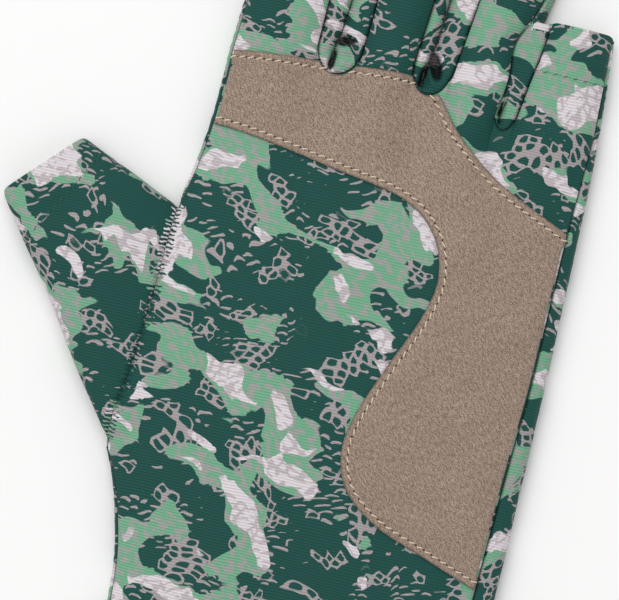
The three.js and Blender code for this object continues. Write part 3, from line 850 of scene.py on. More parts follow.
def cloth_object(name, points, faces, cloth, smooth, attributes):
    """Object of cloth, with its place on the flat cloth as a map, and attributes on its points."""
    mesh = bpy.data.meshes.new(name)
    mesh.from_pydata(points.tolist(), [], faces)
    corner_vertex = np.zeros(len(mesh.loops), int)
    mesh.loops.foreach_get("vertex_index", corner_vertex)
    mesh.uv_layers.new(name="cloth").data.foreach_set("uv", cloth[corner_vertex].ravel())
    for attribute_name, values in attributes.items():
        kind, field = ("FLOAT", "value") if values.ndim == 1 else ("FLOAT_VECTOR", "vector")
        made = mesh.attributes.new(attribute_name, kind, "POINT")
        made.data.foreach_set(field, values.ravel())
    mesh.polygons.foreach_set("use_smooth", smooth)
    mesh.update()
    return linked(name, mesh)


def knit_piece(name, sheet, materials, hem=True):
    """Wall of cloth on a sheet: printed outside, pale inside, with its open edges turned over."""
    measure_seams(sheet)
    sewn = np.zeros(len(sheet.points), bool)
    sewn[[vertex for edge in sheet.sewn for vertex in edge]] = True
    gap = np.where(sheet.ladder[:, 1] < GATHER_DIP_WIDTH, GATHER_GAP, SEAM_GAP)
    held_back = np.where(sewn, gap / 2, 0)[:, None] * sheet.inset
    outer = sheet.points + sheet.walls * relief(sheet, hem)[:, None] + held_back
    outer[:, 2] = np.maximum(outer[:, 2], 0)
    used = np.unique(sheet.cells)
    order = np.full(len(outer), -1)
    order[used] = np.arange(len(used))
    rim = np.array(sorted({vertex for edge in sheet.rim for vertex in edge}))
    rim_order = np.full(len(outer), -1)
    rim_order[rim] = np.arange(len(rim))
    rounding = np.where(sewn[rim], SEWN_RIM_ROUNDING, 1.0)[:, None]
    layers = [outer[used], outer[used] - sheet.walls[used] * CLOTH]
    numbers = [order]
    for turn in range(1, RIM_TURNS):
        angle = np.pi * turn / RIM_TURNS
        around = math.cos(angle) * sheet.walls[rim] - math.sin(angle) * rounding * sheet.inset[rim]
        numbers.append(rim_order + sum(len(layer) for layer in layers))
        layers.append(outer[rim] + (around - sheet.walls[rim]) * CLOTH / 2)
    numbers.append(order + len(used))
    faces = [order[sheet.cells], order[sheet.cells][:, ::-1] + len(used)]
    start, end = np.array(sheet.rim).T
    for near, far in zip(numbers, numbers[1:]):
        faces.append(np.stack([near[start], far[start], far[end], near[end]], axis=1))
    faces = np.concatenate(faces)
    source = np.concatenate([used, used] + [rim] * (RIM_TURNS - 1))
    attributes = {key: getattr(sheet, key)[source] for key in ("to_seam", "depth", "turned", "ladder")}
    points = np.concatenate(layers) + SHIFT
    smooth = np.ones(len(faces), bool)
    made = cloth_object(name, points, faces.tolist(), sheet.cloth[source], smooth, attributes)
    inside = np.zeros(len(faces), int)
    inside[len(sheet.cells) : 2 * len(sheet.cells)] = 1
    made.data.polygons.foreach_set("material_index", inside)
    for material in materials:
        made.data.materials.append(material)
    return made


# Knit and its print
# A smooth polyester knit with fine ribs across the glove, printed with a generic camouflage in
# dark green, light green, off-white and warm grey. The inside of the cloth is left unprinted.

DARK_GREEN = (0.0080, 0.0720, 0.0600, 1)
LIGHT_GREEN = (0.1720, 0.4080, 0.2560, 1)
OFF_WHITE = (0.7200, 0.6650, 0.6950, 1)
WARM_GREY = (0.3750, 0.3350, 0.3400, 1)
PALE_GREY = (0.4900, 0.4300, 0.4550, 1)
REVERSE = (0.7200, 0.7300, 0.7100, 1)
# Painted shade of the ribs on the reverse: the colour of its grooves
REVERSE_GROOVE_PAINTED_SHADE = (0.5500, 0.5700, 0.5500, 1)
RIB_PITCH_MM = 0.75
RIB_DRIFT_MM = 0.8
# Painted shade and light of the ribs: scale of the colour in their grooves and on their crests
PAINTED_RIB_SHADE = (0.88, 1.07)
LOOP_PITCH_MM = 0.5
LOOP_SHARE = 0.22


def plug(tree, node, inputs):
    """Inputs of a node set to values, or linked to the outputs of other nodes."""
    for name, value in inputs.items():
        if isinstance(value, bpy.types.NodeSocket):
            tree.links.new(value, node.inputs[name])
        else:
            node.inputs[name].default_value = value


def add(tree, kind, inputs=None, **settings):
    """A new node with its settings and inputs."""
    made = tree.nodes.new(kind)
    for name, value in settings.items():
        setattr(made, name, value)
    plug(tree, made, inputs or {})
    return made


def put(tree, kind, inputs=None, **settings):
    """The first output of a new node."""
    return add(tree, kind, inputs, **settings).outputs[0]


def calc(tree, operation, *values):
    return put(tree, "ShaderNodeMath", dict(enumerate(values)), operation=operation)


def vector_calc(tree, operation, first, second):
    inputs = {0: first, "Scale" if operation == "SCALE" else 1: second}
    return put(tree, "ShaderNodeVectorMath", inputs, operation=operation)


def remap(tree, value, low, high, start=0, end=1, **settings):
    """A value between low and high, brought to between start and end."""
    inputs = {"Value": value, "From Min": low, "From Max": high, "To Min": start, "To Max": end}
    return put(tree, "ShaderNodeMapRange", inputs, **settings)


def step_at(tree, value, edge, softness):
    """1 where the value is over the edge, with a narrow soft border."""
    return remap(tree, value, edge - softness, edge + softness, interpolation_type="SMOOTHSTEP")


def mix_colour(tree, mask, below, above):
    inputs = {0: mask, 6: below, 7: above}
    return add(tree, "ShaderNodeMix", inputs, data_type="RGBA").outputs[2]


def attribute(tree, name, output="Fac"):
    return add(tree, "ShaderNodeAttribute", attribute_name=name).outputs[output]


def cloth_mm(tree):
    """Place on the flat cloth, in millimetres."""
    return vector_calc(tree, "SCALE", put(tree, "ShaderNodeUVMap", uv_map="cloth"), 1000)


def dress(material, colour, height, strength, distance):
    """Give a material's shader its colour, and a relief from a height."""
    tree = material.node_tree
    bump = put(tree, "ShaderNodeBump", {"Height": height, "Strength": strength, "Distance": distance})
    plug(tree, tree.nodes["Principled BSDF"], {"Base Color": colour, "Normal": bump})


def new_group(name, inputs, outputs, kind="ShaderNodeTree"):
    """Node group with named sockets. Returns the group, what it is given, and its output node."""
    group = bpy.data.node_groups.new(name, kind)
    for in_out, sockets in (("INPUT", inputs), ("OUTPUT", outputs)):
        for socket_name, socket_kind in sockets.items():
            group.interface.new_socket(socket_name, in_out=in_out, socket_type="NodeSocket" + socket_kind)
    return group, group.nodes.new("NodeGroupInput").outputs, group.nodes.new("NodeGroupOutput")


def noise(tree, place, size, shift, detail=1, roughness=0.5, output="Fac"):
    """Noise with blotches of about this size in millimetres, moved by shift to give another field."""
    moved = vector_calc(tree, "ADD", place, (shift, -shift, shift))
    inputs = {"Vector": moved, "Scale": 1 / size, "Detail": detail, "Roughness": roughness}
    return add(tree, "ShaderNodeTexNoise", inputs, noise_dimensions="2D").outputs[output]


def bent(tree, place, size, amount, shift):
    """Coordinates pushed about by a noise, so that the outlines drawn in them wander."""
    colour = noise(tree, place, size, shift, output="Color")
    centred = vector_calc(tree, "SUBTRACT", colour, (0.5, 0.5, 0.5))
    return vector_calc(tree, "ADD", place, vector_calc(tree, "SCALE", centred, 2 * amount))


def slanted(tree, place, turn, stretch):
    """Coordinates turned by an angle and then drawn out along the slant."""
    turned = put(tree, "ShaderNodeVectorRotate", {"Vector": place, "Angle": turn}, rotation_type="Z_AXIS")
    return vector_calc(tree, "MULTIPLY", turned, (*stretch, 1.0))


def split(tree, place):
    return add(tree, "ShaderNodeSeparateXYZ", {0: place}).outputs


def sine(tree, turns):
    return calc(tree, "SINE", calc(tree, "MULTIPLY", turns, 2 * math.pi))


# Ribs of the knit: a wave across the cloth, broken up by the loops of the yarn
knit_ribs, given, result = new_group(
    "knit ribs", {"Cloth": "Vector", "Pitch": "Float"}, {"Height": "Float", "Thread": "Float"}
)
tree = knit_ribs
drift = noise(tree, given["Cloth"], size=14, shift=21.0)
along_ribs = calc(tree, "MULTIPLY_ADD", drift, RIB_DRIFT_MM, split(tree, given["Cloth"])["Y"])
rib_sine = sine(tree, calc(tree, "DIVIDE", along_ribs, given["Pitch"]))
rib_wave = calc(tree, "MULTIPLY_ADD", rib_sine, 0.5, 0.5)
loop_sine = sine(tree, calc(tree, "DIVIDE", split(tree, given["Cloth"])["X"], LOOP_PITCH_MM))
loop_wave = calc(tree, "MULTIPLY_ADD", loop_sine, 0.5, 0.5)
rib_part = calc(tree, "MULTIPLY", rib_wave, 1 - LOOP_SHARE)
height = calc(tree, "MULTIPLY_ADD", loop_wave, LOOP_SHARE, rib_part)
plug(tree, result, {"Height": height, "Thread": rib_wave})

# Blotches: two fields of noise in coordinates that wander, drawn out down to the right
BLOTCH_TURN = 0.27
BLOTCH_STRETCH = (0.50, 1.0)
BLOTCH_BORDER = 0.004
GREEN_FROM = 0.538
WHITE_FROM = 0.600
WHITE_BY_GREEN = 0.45

camouflage, given, result = new_group(
    "printed camouflage", {"Cloth": "Vector", "Shift": "Vector", "Thread": "Float"}, {"Color": "Color"}
)
tree = camouflage
placed = vector_calc(tree, "ADD", given["Cloth"], given["Shift"])
wandering = bent(tree, placed, size=17, amount=6.0, shift=3.1)
wandering = bent(tree, wandering, size=6.0, amount=2.0, shift=7.7)
torn = bent(tree, wandering, size=2.2, amount=0.5, shift=19.3)
steady = bent(tree, placed, size=24, amount=5.0, shift=3.1)
drawn_out = slanted(tree, torn, BLOTCH_TURN, BLOTCH_STRETCH)
green_field = noise(tree, drawn_out, size=11.5, shift=11.0, detail=1.4, roughness=0.45)
white_field = noise(tree, drawn_out, size=8.5, shift=47.0, detail=1.2, roughness=0.45)
white_part = calc(tree, "MULTIPLY", white_field, 1 - WHITE_BY_GREEN)
white_sum = calc(tree, "MULTIPLY_ADD", green_field, WHITE_BY_GREEN, white_part)
is_green = step_at(tree, green_field, GREEN_FROM, BLOTCH_BORDER)
is_white = step_at(tree, white_sum, WHITE_FROM, BLOTCH_BORDER)

# Warm grey patches within the light green, broken up into fine streaks by the ribs
STREAK_FROM = 0.575
STREAK_BORDER = 0.045
STREAK_BY_THREAD = -0.09
STREAK_BY_NOISE = 0.16
STREAK_STRENGTH = 0.82
STREAK_STRETCH = (0.30, 1.4)
STREAK_PATCH_STRETCH = (0.7, 1.0)
STREAK_PATCH_TURN = 0.5

fine_streaks = noise(tree, slanted(tree, steady, 0, STREAK_STRETCH), size=0.8, shift=5.0)
streak_patch = slanted(tree, steady, STREAK_PATCH_TURN, STREAK_PATCH_STRETCH)
streak_patch = noise(tree, streak_patch, size=1.9, shift=61.0)
streak_sum = calc(tree, "MULTIPLY_ADD", fine_streaks, STREAK_BY_NOISE, streak_patch)
streak_sum = calc(tree, "MULTIPLY_ADD", given["Thread"], STREAK_BY_THREAD, streak_sum)
in_streak = step_at(tree, streak_sum, STREAK_FROM, STREAK_BORDER)
green = mix_colour(tree, calc(tree, "MULTIPLY", in_streak, STREAK_STRENGTH), LIGHT_GREEN, WARM_GREY)

# Rows of short bent marks on the dark ground, like ripples. Each lies aslant in its own cell, whole
# or left out, and they grow smaller toward the middle of the dark blotches.
MARK_PITCH_MM = 3.4
MARK_ROW_MM = 2.2
MARK_ROW_SHIFT = 0.37
MARK_ROW_TURN = 0.12
MARK_LENGTH = 0.42
MARK_THICKNESS = 0.175
MARK_TILT = 0.50
MARK_BEND = 1.6
MARK_BEND_RANGE = (2.0, -0.7)
MARK_SIZE_RANGE = (0.4, 0.75)
MARK_SMALLEST = 0.01
MARK_BORDER = 0.25
MARKS_FADE = (0.33, 0.43)
MARKS_FROM = 0.44
MARKS_LEFT_OUT = 0.15

mark_space = bent(tree, steady, size=6.5, amount=2.0, shift=29.0)
mark_space = bent(tree, mark_space, size=1.1, amount=0.16, shift=53.0)
mark_parts = split(tree, slanted(tree, mark_space, MARK_ROW_TURN, (1.0, 1.0)))
mark_rows = calc(tree, "DIVIDE", mark_parts["Y"], MARK_ROW_MM)
mark_row = calc(tree, "FLOOR", mark_rows)
mark_places = calc(tree, "DIVIDE", mark_parts["X"], MARK_PITCH_MM)
mark_places = calc(tree, "MULTIPLY_ADD", mark_row, MARK_ROW_SHIFT, mark_places)
mark_number = put(tree, "ShaderNodeCombineXYZ", {"X": calc(tree, "FLOOR", mark_places), "Y": mark_row})
mark_draw = add(tree, "ShaderNodeTexWhiteNoise", {"Vector": mark_number}, noise_dimensions="2D")
mark_chance = mark_draw.outputs["Value"]
mark_zone = noise(tree, mark_number, size=4.0, shift=83.0, detail=0.5, roughness=0.4)
mark_zone = step_at(tree, mark_zone, MARKS_FROM, BLOTCH_BORDER)
along_mark = calc(tree, "SUBTRACT", calc(tree, "FRACT", mark_places), 0.5)
over_mark = calc(tree, "SUBTRACT", calc(tree, "FRACT", mark_rows), 0.5)
mark_arc = calc(tree, "MULTIPLY", calc(tree, "MULTIPLY", along_mark, along_mark), MARK_BEND)
mark_arc = calc(tree, "MULTIPLY", mark_arc, calc(tree, "MULTIPLY_ADD", mark_chance, *MARK_BEND_RANGE))
over_mark = calc(tree, "ADD", over_mark, mark_arc)
over_mark = calc(tree, "MULTIPLY_ADD", along_mark, -MARK_TILT, over_mark)
near_light = remap(tree, green_field, *MARKS_FADE)
mark_size = calc(tree, "MULTIPLY_ADD", mark_chance, *MARK_SIZE_RANGE)
mark_size = calc(tree, "MAXIMUM", calc(tree, "MULTIPLY", near_light, mark_size), MARK_SMALLEST)
along_share = calc(tree, "DIVIDE", along_mark, calc(tree, "MULTIPLY", mark_size, MARK_LENGTH))
over_share = calc(tree, "DIVIDE", over_mark, calc(tree, "MULTIPLY", mark_size, MARK_THICKNESS))
mark_share = calc(tree, "ADD", calc(tree, "POWER", along_share, 4), calc(tree, "POWER", over_share, 2))
in_mark = calc(tree, "SUBTRACT", 1, step_at(tree, mark_share, 1.0, MARK_BORDER))
in_mark = calc(tree, "MULTIPLY", in_mark, calc(tree, "GREATER_THAN", mark_chance, MARKS_LEFT_OUT))

# Round pebbles with a thick grey outline, in a few places on the ground and over parts of the white
PEBBLE_TURN = 0.3
PEBBLE_STRETCH = (0.34, 0.42)
PEBBLE_RADIUS = 0.40
PEBBLE_RADIUS_BORDER = 0.035
PEBBLE_GAP = 0.140
PEBBLE_GAP_BORDER = 0.03
PEBBLE_RANDOMNESS = 0.5
PEBBLES_FROM = 0.608
SHADED_FROM = 0.50
SHADED_BORDER = 0.03
WHITE_SHADE = 0.85

pebble_space = bent(tree, steady, size=5.0, amount=1.0, shift=37.0)
pebble_space = bent(tree, pebble_space, size=1.1, amount=0.12, shift=53.0)
pebble_inputs = {
    "Vector": slanted(tree, pebble_space, PEBBLE_TURN, PEBBLE_STRETCH),
    "Scale": 1.0,
    "Randomness": PEBBLE_RANDOMNESS,
}
pebbles = add(tree, "ShaderNodeTexVoronoi", pebble_inputs, voronoi_dimensions="2D").outputs
pebble_borders = add(
    tree, "ShaderNodeTexVoronoi", pebble_inputs, voronoi_dimensions="2D", feature="DISTANCE_TO_EDGE"
).outputs
past_round = step_at(tree, pebbles["Distance"], PEBBLE_RADIUS, PEBBLE_RADIUS_BORDER)
off_border = step_at(tree, pebble_borders["Distance"], PEBBLE_GAP, PEBBLE_GAP_BORDER)
between_pebbles = calc(tree, "MAXIMUM", past_round, calc(tree, "SUBTRACT", 1, off_border))
pebble_zone = noise(tree, pebbles["Position"], size=3.4, shift=131.0, detail=0.5, roughness=0.4)
pebble_zone = step_at(tree, pebble_zone, PEBBLES_FROM, BLOTCH_BORDER)

ground = mix_colour(tree, calc(tree, "MULTIPLY", in_mark, mark_zone), DARK_GREEN, WARM_GREY)
pebbled = mix_colour(tree, between_pebbles, DARK_GREEN, WARM_GREY)
ground = mix_colour(tree, pebble_zone, ground, pebbled)
shaded_part = step_at(tree, noise(tree, steady, size=5.0, shift=71.0), SHADED_FROM, SHADED_BORDER)
in_shade = calc(tree, "MULTIPLY", between_pebbles, shaded_part)
in_stroke = calc(tree, "MULTIPLY", in_mark, calc(tree, "SUBTRACT", 1, shaded_part))
white_shade = calc(tree, "MULTIPLY", calc(tree, "ADD", in_shade, in_stroke), WHITE_SHADE)
white = mix_colour(tree, white_shade, OFF_WHITE, PALE_GREY)
printed = mix_colour(tree, is_white, mix_colour(tree, is_green, ground, green), white)
plug(tree, result, {"Color": printed})

# Gathered seam: rungs across the thumb seam, each printed like the panel on the other side
RUNG_PITCH_MM = 1.15
RUNG_REACH_MM = 1.7
RUNG_RISE = 2.2
RUNG_SWAY = 0.9
RUNG_REACH_RANGE = (1.6, 0.2)
RUNG_FROM = 0.25
RUNG_BORDER = 0.1
RUNG_END = 0.2

gathered_seam, given, result = new_group(
    "gathered seam",
    {"Ladder": "Vector", "Pitch": "Float", "Reach": "Float"},
    {"Rung": "Float", "Height": "Float"},
)
tree = gathered_seam
ladder_mm = vector_calc(tree, "SCALE", given["Ladder"], 1000)
ladder_parts = split(tree, ladder_mm)
uneven = noise(tree, ladder_mm, size=1.6, shift=9.0)
rung_turns = calc(tree, "DIVIDE", ladder_parts["X"], given["Pitch"])
rung_wave = sine(tree, calc(tree, "MULTIPLY_ADD", uneven, RUNG_SWAY, rung_turns))
reach = calc(tree, "MULTIPLY", given["Reach"], calc(tree, "MULTIPLY_ADD", uneven, *RUNG_REACH_RANGE))
near_seam = calc(tree, "LESS_THAN", ladder_parts["Y"], reach)
rung = calc(tree, "MULTIPLY", step_at(tree, rung_wave, RUNG_FROM, RUNG_BORDER), near_seam)
out_share = calc(tree, "SMOOTH_MIN", calc(tree, "DIVIDE", ladder_parts["Y"], reach), 1, RUNG_END)
fade = calc(tree, "MAXIMUM", calc(tree, "SUBTRACT", 1, out_share), 0)
plug(tree, result, {"Rung": rung, "Height": calc(tree, "MULTIPLY", rung_wave, fade)})

KNIT_LOOKS = {"Roughness": 0.62, "Specular IOR Level": 0.22, "Sheen Weight": 0.05, "Sheen Roughness": 0.4}
TURNED_FROM = 0.5
TURNED_BORDER = 0.1
# Painted shade along the seams: reach and strength of the darkening
PAINTED_SEAM_SHADE_REACH = (0.00005, 0.00045)
PAINTED_SEAM_SHADE = 0.32
# Painted shade in the pits of the strips: depth reach and darkest scale
PAINTED_PIT_SHADE_DEPTH = (0.05, 0.5)
PAINTED_PIT_SHADE = 0.10
# Painted shade of the reverse in the pits: depth reach and darkest scale
PAINTED_REVERSE_PIT_SHADE_DEPTH = 0.1
PAINTED_REVERSE_PIT_SHADE = 0.03


def ribs_of(tree, cloth):
    """Outputs of the ribs on a place on the flat cloth."""
    inputs = {"Cloth": cloth, "Pitch": RIB_PITCH_MM}
    return add(tree, "ShaderNodeGroup", inputs, node_tree=knit_ribs).outputs


def knit_material(name, shift, other_shift=None):
    """Printed knit. shift is where on the printed cloth the panel is cut, in millimetres, and
    other_shift the same for the panel on the other side of the gathered seam."""
    material = new_material(name, KNIT_LOOKS)
    tree = material.node_tree
    cloth = cloth_mm(tree)
    ribs = ribs_of(tree, cloth)

    def print_at(cut):
        inputs = {"Cloth": cloth, "Thread": ribs["Thread"], "Shift": cut}
        return put(tree, "ShaderNodeGroup", inputs, node_tree=camouflage)

    printed, height = print_at(shift), ribs["Height"]
    if other_shift is not None:
        ladder = attribute(tree, "ladder", "Vector")
        inputs = {"Ladder": ladder, "Pitch": RUNG_PITCH_MM, "Reach": RUNG_REACH_MM}
        gathers = add(tree, "ShaderNodeGroup", inputs, node_tree=gathered_seam).outputs
        printed = mix_colour(tree, gathers["Rung"], printed, print_at(other_shift))
        height = calc(tree, "MULTIPLY_ADD", gathers["Height"], RUNG_RISE, height)
    turned = step_at(tree, attribute(tree, "turned"), TURNED_FROM, TURNED_BORDER)
    printed = mix_colour(tree, turned, printed, OFF_WHITE)
    # Painted shade and light of the ribs: the colour is darker in the grooves and lighter on the crests
    painted_rib_shade = remap(tree, ribs["Thread"], 0, 1, *PAINTED_RIB_SHADE)
    # Painted shade: the colour is darkened along the seams, where their groove lies in shadow
    painted_seam_shade = remap(tree, attribute(tree, "to_seam"), *PAINTED_SEAM_SHADE_REACH, PAINTED_SEAM_SHADE)
    # Painted shade: deep in the pits of the strips the colour is darkened almost to black
    painted_pit_shade = remap(tree, attribute(tree, "depth"), *PAINTED_PIT_SHADE_DEPTH, 1, PAINTED_PIT_SHADE)
    shade = calc(tree, "MULTIPLY", painted_rib_shade, calc(tree, "MULTIPLY", painted_seam_shade, painted_pit_shade))
    dress(material, vector_calc(tree, "SCALE", printed, shade), height, strength=0.8, distance=0.00022)
    return material


reverse_side = new_material("knit reverse", {"Roughness": 0.85})
tree = reverse_side.node_tree
reverse_ribs = ribs_of(tree, cloth_mm(tree))
# Painted shade: the reverse is coloured darker in the grooves between its ribs
pale = mix_colour(tree, reverse_ribs["Thread"], REVERSE_GROOVE_PAINTED_SHADE, REVERSE)
# Painted shade: the pale reverse is darkened almost to black deep in the pits of the strips
painted_pit_shade = remap(tree, attribute(tree, "depth"), 0, PAINTED_REVERSE_PIT_SHADE_DEPTH, 1, PAINTED_REVERSE_PIT_SHADE)
pale = vector_calc(tree, "SCALE", pale, painted_pit_shade)
dress(reverse_side, pale, reverse_ribs["Height"], strength=0.5, distance=0.00012)


# The knit pieces
# Palm, back, thumb sleeve and the three strips, each cut from another part of the printed cloth.

PALM_CUT = (0, 0, 0)
BACK_CUT = (310, 120, 0)
THUMB_CUT = (-190, 260, 0)
STRIP_CUTS = [(70, -210, 0), (160, -210, 0), (250, -210, 0)]

palm_knit = knit_material("palm knit", PALM_CUT, THUMB_CUT)
palm = knit_piece("palm", palm_sheet, [palm_knit, reverse_side])
back_knit = knit_material("back knit", BACK_CUT)
back = knit_piece("back", back_sheet, [back_knit, reverse_side])
thumb_knit = knit_material("thumb knit", THUMB_CUT, PALM_CUT)
thumb = knit_piece("thumb_sleeve", thumb_sheet, [thumb_knit, reverse_side])
strip_pieces = []
for slot, strip in enumerate(strip_sheets):
    strip_knit = knit_material(f"strip knit {slot}", STRIP_CUTS[slot])
    strip_name = f"strip_{SLOTS[slot]['name']}"
    strip_pieces.append(knit_piece(strip_name, strip, [strip_knit, reverse_side], hem=False))

knit_pieces = [(palm, "palm_panel"), (back, "back_panel"), (thumb, "thumb")]
knit_pieces += [(strip_pieces[slot], f"fourchette_{SLOTS[slot]['name']}") for slot in range(3)]
for piece, node in knit_pieces:
    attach(piece, "root")
    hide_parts(node)


# Suede patch
# Tan micro-suede across the finger roots and down the little finger's side of the palm. It is
# caught in both side seams, its other edges are cut raw, and it bulges between them and the stitches.

SUEDE = 0.00075
PATCH_SEAM_GAP = 0.00018
PATCH_SEAM_SPARE = 1.01
PATCH_STEP = 0.0014
PATCH_EDGE_STEP = 0.0005
PATCH_SLOT_GAP = 0.00025
STITCH_INSET = 0.0018
STITCH_GROOVE = 0.00032
STITCH_GROOVE_WIDTH = 0.00055
EDGE_ROUNDING = 0.00022
EDGE_ROUNDING_WIDTH = 0.0004
SEAM_THINNING = 0.35
SEAM_THINNING_WIDTH = 0.0012
CURVE_CELLS = 60
PATCH_LIFT = 0.00002

# Where rows of points run beside the patch's outline, and how far the even field keeps off it
ROW_INSETS = (0, 0.0002, 0.0004, 0.0009, 0.0013, 0.0016, 0.0018, 0.0020, 0.0023, 0.0028, 0.0036)
SIDE_INSETS = (0.0006, 0.0012, 0.0024, 0.0036)
FIELD_OFF_EDGE = 0.0042
SIDES_OFF_CUT = 0.0040
ROWS_OFF_EDGE = 0.00012
FIELD_X = (-0.056, 0.052)
FIELD_Y = (0.040, 0.178)

# Edges of the patch from left to right: across is a share of the hand's width, along of its length
PATCH_UPPER_EDGE = [
    # across, along
    (-0.560, 0.994),
    (-0.420, 1.006),
    (-0.250, 1.014),
    (-0.020, 1.023),
    (0.052, 1.009),
    (0.139, 0.950),
    (0.266, 0.893),
    (0.420, 0.851),
    (0.540, 0.822),
]
PATCH_LOWER_EDGE = [
    # across, along
    (-0.560, 0.885),
    (-0.400, 0.879),
    (-0.170, 0.857),
    (0.030, 0.835),
    (0.128, 0.792),
    (0.166, 0.730),
    (0.148, 0.666),
    (0.090, 0.582),
    (0.036, 0.498),
    (0.022, 0.438),
    (0.056, 0.382),
    (0.150, 0.338),
    (0.285, 0.308),
    (0.438, 0.276),
    (0.540, 0.258),
]


def smooth_edge(knots, step):
    """Points a step apart on a smooth curve through the knots."""
    places = np.array(knots) * [HAND_WIDTH, HAND_LENGTH]
    padded = np.concatenate([places[:1], places, places[-1:]])
    points = []
    for p0, p1, p2, p3 in zip(padded, padded[1:], padded[2:], padded[3:]):
        t = np.linspace(0, 1, CURVE_CELLS, endpoint=False)[:, None]
        bend = (2 * p0 - 5 * p1 + 4 * p2 - p3) * t**2 + (3 * p1 - p0 - 3 * p2 + p3) * t**3
        points.append(p1 + (p2 - p0) * t / 2 + bend / 2)
    dense = np.concatenate(points + [places[-1:]])
    length = arc_length(dense)
    even = np.linspace(0, length[-1], int(length[-1] / step) + 1)
    return np.stack([np.interp(even, length, dense[:, axis]) for axis in (0, 1)], axis=1)


def moved_in(edge, inset, side):
    """A curve moved sideways: side 1 to the left of its direction, -1 to the right."""
    along = unit(np.gradient(edge, axis=0))
    return edge + inset * side * np.stack([-along[:, 1], along[:, 0]], axis=1)


def between_seams(points, gap):
    """Which points lie between the side seams of the palm."""
    left = left_palm_edge(points[:, 1])[0] + gap
    right = right_roll(points[:, 1], 1)[0] - gap
    return (points[:, 0] > left) & (points[:, 0] < right)


def slot_ceiling(x):
    """Y under the half rounds of the slots, where the strips lie over the patch."""
    ceiling = np.full(len(x), 1.0)
    for slot in (0, 1):
        half = HAND_WIDTH * SLOTS[slot]["width"] / 2 + PATCH_SLOT_GAP
        across = (x - HAND_WIDTH * SLOTS[slot]["centre"]) / half
        inside = np.abs(across) < 1
        ceiling[inside] = slot_round(slot, across[inside]) - PATCH_SLOT_GAP
    return ceiling


upper_edge = smooth_edge(PATCH_UPPER_EDGE, PATCH_EDGE_STEP)
lower_edge = smooth_edge(PATCH_LOWER_EDGE, PATCH_EDGE_STEP)


def patch_rows():
    """The patch's outline, and rows of points beside its cut edges, as plan points."""
    rows = []
    for inset in ROW_INSETS:
        upper = moved_in(upper_edge, inset, -1)
        upper[:, 1] = np.minimum(upper[:, 1], slot_ceiling(upper[:, 0]) - inset)
        lower = moved_in(lower_edge, inset, 1)
        rows.append([row[between_seams(row, PATCH_SEAM_GAP * PATCH_SEAM_SPARE)] for row in (upper, lower)])
    return rows


rows_inward = patch_rows()
top_row, bottom_row = rows_inward[0]


def seam_stretch(start_y, end_y, edge_x, side):
    """Points down a side seam, between the ends of the patch's two cut edges."""
    y = np.linspace(start_y, end_y, int(abs(end_y - start_y) / (2 * PATCH_EDGE_STEP)) + 2)[1:-1]
    return np.stack([edge_x(y) + side * PATCH_SEAM_GAP, y], axis=1)


right_stretch = seam_stretch(top_row[-1, 1], bottom_row[-1, 1], lambda y: right_roll(y, 1)[0], -1)
left_stretch = seam_stretch(bottom_row[0, 1], top_row[0, 1], lambda y: left_palm_edge(y)[0], 1)
patch_outline = np.concatenate([top_row, right_stretch, bottom_row[::-1], left_stretch])[::-1]
cut_edges = np.concatenate([top_row, bottom_row])


def inside_outline(points, outline_points):
    """Which points lie inside a closed outline."""
    inside = np.zeros(len(points), bool)
    for (x0, y0), (x1, y1) in zip(outline_points, np.roll(outline_points, -1, axis=0)):
        crosses = (y0 > points[:, 1]) != (y1 > points[:, 1])
        where = x0 + (points[:, 1] - y0) * (x1 - x0) / ((y1 - y0) or TINY)
        inside ^= crosses & (points[:, 0] < where)
    return inside


def flat_distance(points, targets):
    flat = np.concatenate([points, np.zeros((len(points), 1))], axis=1)
    return nearest(flat, np.concatenate([targets, np.zeros((len(targets), 1))], axis=1))[1]


field_x, field_y = np.meshgrid(np.arange(*FIELD_X, PATCH_STEP), np.arange(*FIELD_Y, PATCH_STEP))
field = np.stack([field_x.ravel(), field_y.ravel()], axis=1)
field = field[inside_outline(field, patch_outline)]
field = field[flat_distance(field, patch_outline) > FIELD_OFF_EDGE]
beside = np.concatenate([row for pair in rows_inward[1:] for row in pair])
beside = beside[inside_outline(beside, patch_outline)]
beside = beside[flat_distance(beside, patch_outline) > ROWS_OFF_EDGE]
side_points = np.concatenate([right_stretch, left_stretch])
for inset in SIDE_INSETS:
    inner = side_points + np.where(side_points[:, :1] > 0, -inset, inset) * [1, 0]
    inner = inner[inside_outline(inner, patch_outline)]
    beside = np.concatenate([beside, inner[flat_distance(inner, cut_edges) > SIDES_OFF_CUT]])

count = len(patch_outline)
loop = [(i, (i + 1) % count) for i in range(count)]
plan = np.concatenate([patch_outline, beside, field])
found = delaunay_2d_cdt([Vector(point) for point in plan.tolist()], loop, [], 1, 1e-7, False)
patch_plan = np.array([list(point) for point in found[0]])
patch_triangles = np.array([list(face) for face in found[2]])
patch_triangles = patch_triangles[inside_outline(patch_plan[patch_triangles].mean(axis=1), patch_outline)]


def tree_of(piece):
    """Search tree over the outer faces of a piece."""
    mesh = piece.data
    outer = [list(face.vertices) for face in mesh.polygons if face.material_index == 0]
    return BVHTree.FromPolygons([vertex.co for vertex in mesh.vertices], outer)


palm_tree = tree_of(palm)
thumb_tree = tree_of(thumb)
DROP_FROM = 0.05


def laid_on(surface, plan_points):
    """Points and normals where plan points of the glove meet a surface from above."""
    places, normals = [], []
    for x, y in plan_points:
        start = Vector((x + SHIFT[0], y + SHIFT[1], DROP_FROM))
        place, normal, _, _ = surface.ray_cast(start, Vector((0, 0, -1)))
        if place is None:
            place, normal, _, _ = surface.find_nearest(Vector((start.x, start.y, FINGER_RISE)))
        places.append(place)
        normals.append(normal)
    return np.array(places), np.array(normals)


